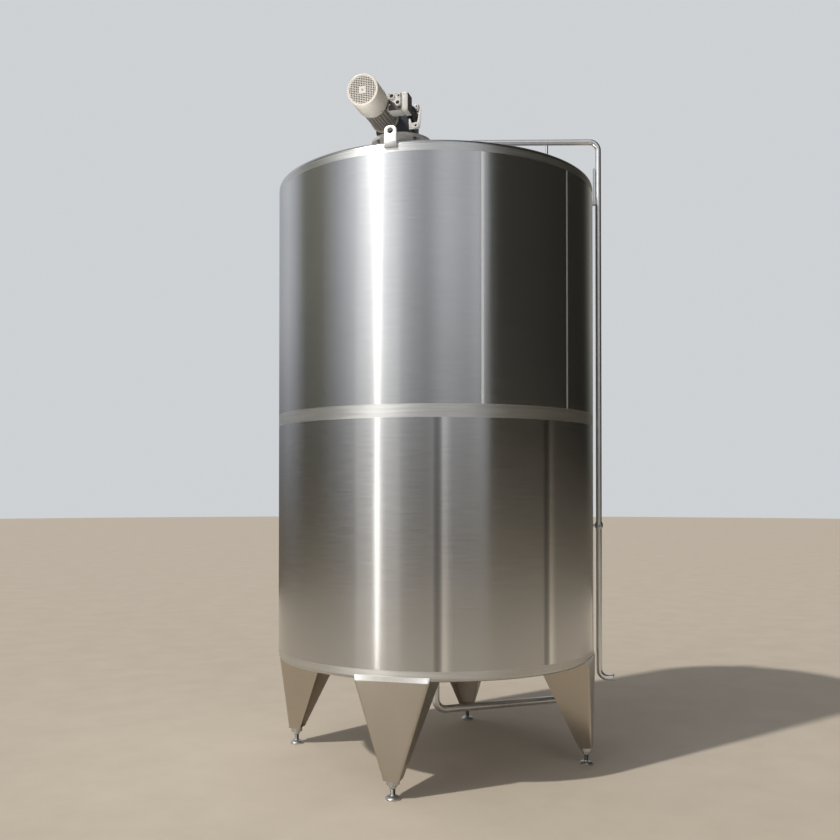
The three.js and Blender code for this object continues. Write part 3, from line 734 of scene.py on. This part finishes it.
def add_foot(corner, under):
    bottom, top = 0.022, 0.0815
    groove = THREAD_RADIUS - 0.0012
    thread = [(0, bottom)]
    for i in range(THREAD_TURNS):
        start = bottom + 0.002 + THREAD_PITCH * i
        thread += [(groove, start), (THREAD_RADIUS, start + THREAD_PITCH / 2)]
    thread += [(groove, top), (0, top)]
    foot = Form(FITTING).add(lathe(thread, 32), under, THREAD)
    foot.add(ring(THREAD_RADIUS - 0.0005, 0.0225, 0.064, 0.080, 6, edge=0.001), under)
    foot.add(lathe([
        (0, 0.0), (0.042, 0.0), (0.043, 0.001), (0.043, 0.009), (0.0415, 0.011),
        (0.033, 0.019), (0.026, 0.0215), (0.019, 0.0235), (0.0175, 0.027), (0, 0.027)], 48), under)
    add_piece(f"jacking_foot_{corner}", foot, [f"foot_{corner}"])


def add_legs():
    for corner, azimuth in LEG_AZIMUTHS.items():
        turn = turned(azimuth)
        under = turn @ at(0, -SPINDLE_REACH, 0)
        add_leg(corner, turn, under)
        add_foot(corner, under)


# Lifting lugs
def lug_edge(angle):
    """How far the lug's edge is from its hole's centre, in the direction of an angle from +X."""
    across, up = abs(math.cos(angle)), math.sin(angle)
    end = LUG_HOLE_DROP if up > 0 else LUG_TOP - LUG_HOLE_DROP - LUG_BOTTOM
    least = 1e-9
    reach = min(LUG_HALF_WIDTH / max(across, least), end / max(abs(up), least))
    corner_x, corner_z = LUG_HALF_WIDTH - LUG_CORNER, LUG_HOLE_DROP - LUG_CORNER
    if across * reach > corner_x and up * reach > corner_z:
        along = across * corner_x + up * corner_z
        apart = corner_x ** 2 + corner_z ** 2 - LUG_CORNER ** 2
        reach = along + math.sqrt(along ** 2 - apart)
    return reach


def lug_plate(front, back):
    hole_height = LUG_TOP - LUG_HOLE_DROP
    under = hole_height - LUG_BOTTOM
    steps = 48
    corners = [math.atan2(-under, LUG_HALF_WIDTH), math.atan2(-under, -LUG_HALF_WIDTH)]
    angles = sorted([math.tau * i / steps - math.pi for i in range(steps)] + corners)
    sides = [
        [[(reach * math.cos(angle), y, hole_height + reach * math.sin(angle))
          for reach in (lug_edge(angle), LUG_HOLE)] for angle in angles]
        for y in (front, back)]
    return sheet(*sides, wraps=True)[:2]


def add_lugs():
    back = -SHELL_RADIUS - LUG_GAP
    front = back - LUG_PLATE
    half = LUG_HALF_WIDTH - 0.0015
    for side, azimuth in LUG_AZIMUTHS.items():
        turn = turned(azimuth)
        lug = Form(LUG_STEEL).add(lug_plate(front, back), turn)
        # the lower part is darker, and a bead runs down either side
        lug.add(box((-half, front - 0.0004, LUG_BOTTOM + 0.001), (half, front + 0.001, LUG_BOTTOM + 0.032)),
                turn, DARKER_WELD)
        for middle in (-LUG_HALF_WIDTH - 0.001, LUG_HALF_WIDTH + 0.001):
            lug.add(box((middle - 0.003, back - 0.005, LUG_BOTTOM + 0.002),
                        (middle + 0.003, back - 0.0002, RIM_HEIGHT - 0.002)), turn, DARKER_WELD)
        add_piece(f"lug_plate_{side}", lug, [f"lifting_lug_{side}"], edge=0.0010)


# Agitator drive
def bolt(size, height):
    """A hexagon head on its washer."""
    return joined([rod(size * 1.15, 0, height * 0.2, 24),
                   rod(size, height * 0.2, height, 6, edge=height * 0.08)])


def grille(depth):
    """Crossed bars inside a circle."""
    bars = []
    half = GRILLE_BAR / 2
    count = int(GRILLE_RADIUS / GRILLE_PITCH)
    for i in range(-count, count + 1):
        offset = i * GRILLE_PITCH
        reach = math.sqrt(GRILLE_RADIUS ** 2 - offset ** 2)
        bars.append(box((offset - half, 0, -reach), (offset + half, depth, reach)))
        bars.append(box((-reach, depth * 0.15, offset - half), (reach, depth * 0.85, offset + half)))
    return joined(bars)


def add_drive():
    place = turned(DRIVE_AZIMUTH) @ at(*DRIVE_SHAFT, 0)
    nearest = math.hypot(*DRIVE_SHAFT) - NECK_RADIUS
    neck = ring(NECK_RADIUS - NECK_WALL, NECK_RADIUS, roof_height(nearest) - 0.04, FLANGE_BOTTOM, 64)
    add_piece("mounting_neck", Form(FITTING).add(neck, place), ["drive_neck"])

    rim, split = FLANGE_RADIUS, (FLANGE_BOTTOM + FLANGE_TOP) / 2
    flange = Form(FLANGE_STEEL).add(lathe([
        (0, FLANGE_BOTTOM), (rim, FLANGE_BOTTOM), (rim, split - 0.006), (rim - 0.003, split - 0.001),
        (rim - 0.006, split - 0.001), (rim - 0.006, split), (rim, split), (rim, FLANGE_TOP - 0.005),
        (rim - 0.003, FLANGE_TOP), (0, FLANGE_TOP)], 96), place)
    upside_down = turned(180, "X")
    for spin in turns(FLANGE_BOLTS):
        spot = place @ spin @ at(0, -FLANGE_BOLT_REACH, 0)
        flange.add(bolt(0.010, 0.009), spot @ at(0, 0, FLANGE_TOP), THREAD)
        flange.add(bolt(0.010, 0.012), spot @ at(0, 0, FLANGE_BOTTOM) @ upside_down, THREAD)
    add_piece("mounting_flange", flange, ["drive_flange"])
    add_gearbox(place)
    add_bracket(place)
    motor = place @ at(MOTOR_X, 0, 0)
    add_motor(motor)
    add_cowl(motor)
    add_terminal_box(motor)


def add_gearbox(place):
    seat, top = FLANGE_TOP, GEARBOX_TOP
    left, right, cut = GEARBOX_LEFT, GEARBOX_RIGHT, GEARBOX_CHAMFER
    housing = prism([
        (left, seat), (GEARBOX_FOOT_RIGHT, seat), (GEARBOX_FOOT_RIGHT, seat + 0.015),
        (right, seat + 0.090), (right, top - cut), (right - cut, top),
        (left + cut, top), (left, top - cut)], GEARBOX_FRONT, GEARBOX_BACK)
    add_piece("gear_housing", Form(GEARBOX_PAINT).add(housing, place), ["gearbox"],
              edge=0.008)

    # a bolted cover on the right side and another on the back
    trim = Form(GEARBOX_PAINT)
    right_cover = at(right, (GEARBOX_FRONT + GEARBOX_BACK) / 2, 4.165) @ turned(90, "Y")
    back_cover = at((left + right) / 2, GEARBOX_BACK, 4.125) @ turned(-90, "X")
    thickness = 0.008
    for cover, radius in ((place @ right_cover, 0.058), (place @ back_cover, 0.075)):
        trim.add(rod(radius, -0.002, thickness, 48, edge=0.002), cover)
        for spin in turns(6):
            trim.add(bolt(0.006, 0.006), cover @ spin @ at(0, 0.010 - radius, thickness), THREAD)
    add_piece("gearbox_covers", trim)


def add_bracket(place):
    """The pale bent bracket on the gearbox's front right and the drilled block above it."""
    front = GEARBOX_FRONT
    bracket = Form(BOX_PAINT)
    bracket.add(prism([
        (0.102, 4.022), (0.170, 4.022), (0.177, 4.072), (0.179, 4.142), (0.170, 4.142),
        (0.154, 4.064), (0.116, 4.061), (0.109, 4.088), (0.100, 4.090), (0.098, 4.064)],
        front - 0.007, front - 0.001), place)
    boss = place @ lying(-front + 0.005, 4.042, 0.146)
    bracket.add(ring(0.007, 0.017, 0, 0.008, 32, edge=0.001), boss)
    # painted shade: a black disc at the bottom of the boss's hole
    bracket.add(rod(0.007, 0, 0.003, 32), boss, BLACK)
    for x in (0.110, 0.165):
        bracket.add(bolt(0.005, 0.005), place @ lying(-front + 0.006, 4.036, x))
    add_piece("gearbox_bracket", bracket, edge=0.0012)

    right = GEARBOX_RIGHT
    eye = Form(BOX_PAINT).add(box((right - 0.004, 0.000, 4.210), (right + 0.024, 0.032, 4.252)), place)
    for height in (4.221, 4.241):
        # painted shade: black discs stand for the block's drilled holes
        eye.add(rod(0.0055, 0, 0.002, 24), place @ lying(0.0005, height, right + 0.010), BLACK)
    add_piece("gearbox_eye", eye, edge=0.0015)


def add_motor(place):
    shield = Form(DARK_PAINT)
    shield.add(rod(SHIELD_RADIUS, SHIELD_BACK, SHIELD_FRONT, 64, edge=0.003),
               place @ lying(0, MOTOR_HEIGHT))
    reach = SHIELD_BOLT_REACH
    for x, z in ((reach, 0), (0, reach), (-reach, 0), (0, -reach)):
        shield.add(bolt(0.0065, 0.008), place @ lying(SHIELD_FRONT, MOTOR_HEIGHT + z, x), FITTING)
    add_piece("motor_end_bell", shield, ["motor_end_shield"])

    outline = []
    for i in range(FIN_COUNT):
        middle = math.tau * i / FIN_COUNT
        for radius, half in ((MOTOR_CORE, -FIN_ROOT_HALF), (FIN_TIP, -FIN_TIP_HALF),
                             (FIN_TIP, FIN_TIP_HALF), (MOTOR_CORE, FIN_ROOT_HALF)):
            angle = middle + half / radius
            outline.append((radius * math.cos(angle), MOTOR_HEIGHT + radius * math.sin(angle)))
    barrel = prism(outline, -COWL_BACK - 0.004, -SHIELD_FRONT)
    add_piece("finned_barrel", Form(DARK_PAINT).add(barrel, place), ["motor_body"])


def add_cowl(place):
    edge = COWL_EDGE
    lip = COWL_RADIUS - 0.009
    face = COWL_FRONT - COWL_BACK
    inside = COWL_RADIUS - COWL_WALL
    along = place @ lying(COWL_BACK, MOTOR_HEIGHT)
    cowl = Form(COWL_PAINT).add(lathe([
        (lip, face - 0.010), (lip, face - 0.001), (lip + 0.001, face), (COWL_RADIUS - edge, face),
        (COWL_RADIUS - edge * 0.3, face - edge * 0.3), (COWL_RADIUS, face - edge), (COWL_RADIUS, 0.0),
        (inside, 0.0), (inside, face - 0.010)], 72), along)

    # the grille with its ring, a plain square in its middle and, behind it, a black disc that paints the
    # shade of the dark inside
    bars = place @ at(0, -COWL_FRONT + 0.0015, MOTOR_HEIGHT)
    cowl.add(grille(0.0014), bars)
    cowl.add(ring(GRILLE_RADIUS - 0.001, lip + 0.001, face - 0.0045, face - 0.0015, 72), along)
    half = 2 * GRILLE_PITCH - GRILLE_BAR / 2
    cowl.add(box((-half, -0.0008, -half), (half, 0.004, half)), bars)
    cowl.add(rod(0.006, 0, 0.002, 16, edge=0.0005), place @ lying(COWL_FRONT - 0.001, MOTOR_HEIGHT),
             THREAD)
    cowl.add(rod(lip + 0.002, face - 0.030, face - 0.028, 48), along, BLACK)
    for spin in turns(4, "Y", 0.5):
        screw = place @ at(0, -COWL_BACK - 0.018, MOTOR_HEIGHT) @ spin
        cowl.add(rod(0.005, COWL_RADIUS - 0.001, COWL_RADIUS, 16), screw, THREAD)
    add_piece("fan_hood", cowl, ["fan_cowl"], sharp=40)


def box_slab(left, right, ends=0.0, bottom=0.0, top=0.0):
    """A slab of the terminal box between two X, held back from its ends, its bottom and its top."""
    return box((left, -BOX_FRONT + ends, MOTOR_HEIGHT - BOX_HALF_HEIGHT + bottom),
               (right, -BOX_FRONT + BOX_LENGTH - ends, MOTOR_HEIGHT + BOX_HALF_HEIGHT - top))


def add_terminal_box(place):
    case = Form(BOX_PAINT)
    case.add(box_slab(BOX_INSIDE + 0.004, BOX_BODY, 0.0, 0.004, 0.002), place)
    case.add(box_slab(BOX_BODY - 0.002, BOX_LID + 0.002, 0.006, 0.008, 0.008), place, BLACK)
    case.add(box_slab(BOX_LID, BOX_OUTSIDE), place)
    case.add(box_slab(BOX_INSIDE - 0.006, BOX_INSIDE + 0.010, 0.012, 0.012, 0.012), place)
    add_piece("connection_box", case, ["terminal_box"], edge=0.005)

    # painted shade: dark faces on the front wall and on the lid's outer side, where shade falls, and a pale
    # plate for the cable entries over the wall's upper right, shaped like the part the cowl's shadow leaves
    # lit
    front, middle, half = -BOX_FRONT, MOTOR_HEIGHT, BOX_HALF_HEIGHT
    entries = Form(BOX_PAINT)
    entries.add(box((BOX_INSIDE + 0.006, front - 0.001, middle - half + 0.006),
                    (BOX_BODY - 0.002, front + 0.001, middle + half - 0.004)), place, BOX_PAINTED_SHADE)
    entries.add(box_slab(BOX_OUTSIDE - 0.001, BOX_OUTSIDE + 0.0015, 0.005, 0.005, 0.005), place, BOX_PAINTED_SHADE)
    # the pale plate's outline follows the edge of the cowl's shadow on the front wall: painted light above
    # it, painted shade below
    plate = [(0.095, 0.036), (0.105, 0.053), (0.172, 0.053), (0.173, -0.024), (0.148, -0.031),
             (0.133, -0.006), (0.100, 0.014)]
    entries.add(prism([(x, middle + z) for x, z in plate], front - 0.003, front), place)

    # cable entries, as (X, height over the motor's axis, radius), and screws
    for x, z, size in ((0.117, 0.034, 0.019), (0.156, -0.008, 0.019), (0.161, 0.036, 0.011),
                       (0.146, 0.046, 0.009)):
        spot = place @ lying(BOX_FRONT, middle + z, x)
        bore = size * 0.62
        entries.add(ring(bore, size, 0, size * 0.6, 32, edge=0.0015), spot)
        # painted shade: a black plug in each entry's bore
        entries.add(rod(bore, 0, size * 0.3, 32), spot, BLACK)
    for x, z in ((0.103, -0.015), (0.190, 0.045), (0.190, -0.045), (0.208, 0.045), (0.208, -0.045)):
        screw = place @ lying(BOX_FRONT, middle + z, x)
        entries.add(rod(0.0045, -0.001, 0.003, 16, edge=0.0008), screw)
    add_piece("cable_entries", entries, sharp=40)


# Pipes
def straight(radius, low, high, low_end="plain", high_end="plain"):
    """A tube between two distances along its axis, each end plain, with a ferrule or with a weld."""
    lip, thick = radius + FERRULE_LIP, FERRULE_THICKNESS
    ends = {"plain": [(radius, 0)], "weld": [(radius, 0)],
            "ferrule": [(lip - 0.001, 0), (lip, 0.001), (lip, thick * 0.5), (radius, thick)]}
    profile = [(radius - TUBE_WALL, low)]
    profile += [(reach, low + past) for reach, past in ends[low_end]]
    profile += [(reach, high - past) for reach, past in reversed(ends[high_end])]
    profile.append((radius - TUBE_WALL, high))
    bead = [(radius - 0.001, -0.002), (radius + 0.0006, -0.001), (radius + 0.0006, 0.001),
            (radius - 0.001, 0.002)]
    welds = [height for end, height in ((low_end, low), (high_end, high)) if end == "weld"]
    return joined([lathe(profile)] + [lathe(bead, base=height) for height in welds])


def elbow(radius, bend, reach, height, start, turn):
    """A quarter bend in the plane of -Y and Z, about a centre at a reach and a height. Angles turn
    from pointing back, towards +Y, up to +Z."""
    steps = 16
    angles = [math.radians(start + turn * 90 * i / steps) for i in range(steps + 1)]
    walls = []
    for wall in (radius, radius - TUBE_WALL):
        columns = []
        for k in range(TUBE_STEPS):
            x, past, _ = on_circle(360 * k / TUBE_STEPS, wall, 0)
            out = bend - past
            columns.append([
                (x, out * math.cos(angle) - reach, out * math.sin(angle) + height) for angle in angles])
        walls.append(columns)
    return sheet(*walls, wraps=True)[:2]


def add_tubes(tubes):
    """Makes a piece of each (name, CAD node, place, shape)."""
    for name, node, place, shape in tubes:
        add_piece(name, Form(PIPE).add(shape, place), [node])


def add_fill_pipe():
    turn = turned(FILL_AZIMUTH)
    radius, bend = FILL_RADIUS, FILL_BEND
    over_nozzle = turn @ at(0, -FILL_NOZZLE_REACH, 0)
    over_drop = turn @ at(0, -FILL_DROP_REACH, 0)
    nozzle_foot = roof_height(FILL_NOZZLE_REACH + radius)
    riser_top = FILL_RUN_HEIGHT - bend
    run_start, run_end = FILL_NOZZLE_REACH + bend, FILL_DROP_REACH - bend
    tail_start, tail_height = FILL_DROP_REACH + bend, FILL_END_HEIGHT + bend
    add_tubes([
        ("nozzle_tube", "fill_nozzle", over_nozzle,
         straight(radius, nozzle_foot, FILL_JOINT_HEIGHT, high_end="ferrule")),
        ("riser_tube", "fill_riser", over_nozzle,
         straight(radius, FILL_JOINT_HEIGHT, riser_top, "ferrule", "weld")),
        ("inner_elbow", "fill_bend_inner", turn, elbow(radius, bend, run_start, riser_top, 0, 1)),
        ("run_tube", "fill_run", turn @ lying(0, FILL_RUN_HEIGHT),
         straight(radius, run_start, run_end, "weld", "weld")),
        ("outer_elbow", "fill_bend_outer", turn, elbow(radius, bend, run_end, riser_top, 90, 1)),
        ("upper_drop_tube", "fill_drop_upper", over_drop,
         straight(radius, UNION_TOP, riser_top, high_end="weld")),
        ("lower_drop_tube", "fill_drop_lower", over_drop,
         straight(radius, tail_height, UNION_BOTTOM, "weld")),
        ("tail_elbow", "fill_bend_tail", turn, elbow(radius, bend, tail_start, tail_height, 0, -1)),
        ("tail_tube", "fill_tail", turn @ lying(0, FILL_END_HEIGHT),
         straight(radius, tail_start, FILL_END_REACH, "weld", "ferrule"))])
    add_union(over_drop)
    add_clamp(over_nozzle)


def add_union(place):
    inner = FILL_RADIUS - TUBE_WALL
    bottom, top = UNION_BOTTOM, UNION_TOP
    middle = (bottom + top) / 2
    nut = Form(FITTING).add(lathe([
        (inner, bottom), (0.021, bottom), (0.0225, bottom + 0.004), (0.0255, bottom + 0.006),
        (0.026, bottom + 0.008), (0.026, top - 0.010), (0.0252, top - 0.008), (0.0225, top - 0.006),
        (0.021, top), (inner, top)]), place)
    for spin in turns(4):
        slot = box((-0.004, -0.0262, middle - 0.010), (0.004, -0.0240, middle + 0.006))
        nut.add(slot, place @ spin, THREAD)
    add_piece("union_nut", nut, ["fill_union"], sharp=40)


def add_clamp(place):
    """The hinged clamp round the riser's joint, with its screw and wing nut."""
    inner = FILL_RADIUS + FERRULE_LIP + 0.0003
    clamp = Form(FITTING).add(
        ring(inner, inner + 0.008, FILL_JOINT_HEIGHT - 0.010, FILL_JOINT_HEIGHT + 0.010, 48, edge=0.003),
        place)
    screw = place @ at(inner + 0.010, 0, FILL_JOINT_HEIGHT)
    clamp.add(box((-0.004, -0.011, -0.009), (0.010, 0.011, 0.009)), screw)
    clamp.add(rod(0.004, -0.014, 0.034, 16), screw @ lying(0, 0, 0.008), THREAD)
    clamp.add(box((-0.004, -0.040, -0.004), (0.022, -0.032, 0.004)), screw)
    add_piece("pipe_clamp", clamp, ["fill_clamp"])


def add_outlet():
    turn = turned(OUTLET_AZIMUTH)
    radius, bend = OUTLET_RADIUS, OUTLET_BEND
    elbow_top = OUTLET_HEIGHT + bend
    apex = floor_height(0)
    collar = lathe([(radius, -0.008), (OUTLET_COLLAR, -0.008), (OUTLET_COLLAR, 0.009), (radius, 0.003)],
                   48, apex)
    add_tubes([
        ("outlet_stub", "outlet_nozzle", turn,
         joined([straight(radius, elbow_top, apex - 0.001, "weld"), collar])),
        ("outlet_elbow", "outlet_bend", turn, elbow(radius, bend, bend, elbow_top, 0, -1)),
        ("outlet_tube", "outlet_run", turn @ lying(0, OUTLET_HEIGHT),
         straight(radius, bend, OUTLET_REACH, "weld", "ferrule"))])


# Manway
def add_manway():
    place = turned(MANWAY_AZIMUTH) @ at(0, -MANWAY_REACH, 0)
    foot = roof_height(MANWAY_REACH - MANWAY_RADIUS) - 0.085
    neck = ring(MANWAY_RADIUS - 0.004, MANWAY_RADIUS, foot, MANWAY_TOP - 0.0002, 96)
    add_piece("manway_collar", Form(ROOF_STEEL).add(neck, place), ["manway_neck"])
    lid = lathe([
        (0, 0), (0.238, 0), (0.241, 0.003), (0.241, 0.009), (0.238, 0.012), (0.222, 0.0135),
        (0.190, 0.021), (0.150, 0.027), (0.080, 0.032), (0, 0.034)], 96, MANWAY_TOP)
    add_piece("manway_cover", Form(ROOF_STEEL).add(lid, place), ["manway_lid"], sharp=50)


# CAD pieces that stay as they are
def finish_nodes():
    for node in ("fill_support_post", "fill_clip_upper", "fill_clip_lower"):
        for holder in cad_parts[node].material_slots:
            holder.material = FITTING


# Stage
def add_floor():
    """One plain round floor. Its far part isn't mirrored, so the lower course mirrors no horizon."""
    steps = 96
    near, far = ([on_circle(360 * i / steps, radius, 0) for i in range(steps)]
                 for radius in (NEAR_FLOOR, FAR_FLOOR))
    between = [[i, steps + i, steps + (i + 1) % steps, (i + 1) % steps] for i in range(steps)]
    for name, points, faces, is_mirrored in (
            ("floor_near", near, [list(range(steps))], True), ("floor_far", near + far, between, False)):
        mesh = bpy.data.meshes.new(name)
        mesh.from_pydata(points, [], faces)
        mesh.materials.append(FLOOR)
        floor = put(name, mesh)
        floor.visible_glossy = is_mirrored


def panel_colour(brightness):
    tint = DIM_TINT if brightness < DIM_BELOW else BRIGHT_TINT
    return [brightness * part for part in tint]


def add_world():
    """Soft panels around the tank, over a dim far ground. The camera sees a plain backdrop instead."""
    world = bpy.data.worlds.new("studio")
    bpy.context.scene.world = world
    world.use_nodes = True
    world.node_tree.nodes.clear()
    nodes = Nodes(world.node_tree)
    coords = nodes.output("Generated", "ShaderNodeTexCoord")
    right, back, up = nodes.new("ShaderNodeSeparateXYZ", {"Vector": coords}).outputs
    front = nodes.output(0, "ShaderNodeMath", {0: back, 1: -1.0}, operation="MULTIPLY")
    azimuth = nodes.output(0, "ShaderNodeMath", {0: right, 1: front}, operation="ARCTAN2")
    by_azimuth = nodes.ramp(
        nodes.span(azimuth, 0.0, 1.0, -math.pi, math.pi),
        [((degrees + 180) / 360, panel_colour(brightness)) for degrees, brightness in PANELS])
    by_height = nodes.ramp(up, [(height, (share,) * 3) for height, share in PANEL_HEIGHTS])
    panels = nodes.mix(1.0, by_azimuth, by_height, blend_type="MULTIPLY")
    below = nodes.span(up, 1.0, 0.0, -0.05, 0.02)
    around = nodes.mix(below, panels, shade(FAR_GROUND))

    is_seen = nodes.output("Is Camera Ray", "ShaderNodeLightPath")
    lit, seen = (nodes.output(0, "ShaderNodeBackground", {"Color": colour})
                 for colour in (around, shade(BACKDROP)))
    either = nodes.output(0, "ShaderNodeMixShader", {"Fac": is_seen, 1: lit, 2: seen})
    nodes.new("ShaderNodeOutputWorld", {"Surface": either})


def add_light(name, kind, energy, colour, place, rotation, hidden_from=(), **settings):
    """Adds a light that some kinds of ray don't see; settings are those of its data."""
    light = bpy.data.lights.new(name, kind)
    light.energy = energy
    light.color = colour
    for key, value in settings.items():
        setattr(light, key, value)
    lamp = put(name, light)
    lamp.location = place
    lamp.rotation_euler = rotation
    for ray in hidden_from:
        setattr(lamp, f"visible_{ray}", False)


def add_key():
    """A soft key light, high to the left of the camera."""
    elevation = math.radians(KEY_ELEVATION)
    towards = on_circle(KEY_AZIMUTH, math.cos(elevation), math.sin(elevation))
    add_light("key", "SUN", 2.2, WARM, (0, 0, 0), towards.to_track_quat("Z", "Y").to_euler(),
              angle=math.radians(2))


def add_strips():
    """Two tall lights, one narrow and one wide and dim, that the shell mirrors as a bright line with
    a soft glow round it."""
    for name, width, power in (("strip", 0.09, 8), ("glow", 2.0, 5.5)):
        add_light(name, "AREA", power, WARM, STRIP_PLACE, (math.radians(90), 0, math.radians(STRIP_TURN)),
                  ("camera", "diffuse"), shape="RECTANGLE", size=width, size_y=STRIP_HEIGHT)


def add_bounce():
    """The soft light that the roof throws up at the drive."""
    towards = Vector(BOUNCE_AIM) - Vector(BOUNCE_PLACE)
    add_light("bounce", "AREA", 0.6, (1.0, 0.96, 0.90), BOUNCE_PLACE,
              towards.to_track_quat("-Z", "Y").to_euler(), ("camera", "glossy"), shape="DISK", size=0.35)


def add_camera():
    camera = bpy.data.cameras.new("camera")
    camera.lens = 41.03
    camera.sensor_width = 36
    camera.shift_y = 0.07
    eye = put("camera", camera)
    eye.location = (-3.248, -5.435, 1.724)
    eye.rotation_euler = (math.radians(90.75), 0, math.radians(-29.93))
    bpy.context.scene.camera = eye


add_camera()
add_world()
add_key()
add_strips()
add_bounce()
add_floor()
add_shell()
add_end("roof_sheet", "roof_cone", RIM_HEIGHT, ROOF_KNUCKLE, ROOF_PLATE, 1)
add_end("floor_sheet", "floor_cone", BASE_HEIGHT, FLOOR_KNUCKLE, FLOOR_PLATE, -1)
add_legs()
add_lugs()
add_drive()
add_fill_pipe()
add_outlet()
add_manway()
finish_nodes()
bpy.context.scene.view_settings.view_transform = "Standard"
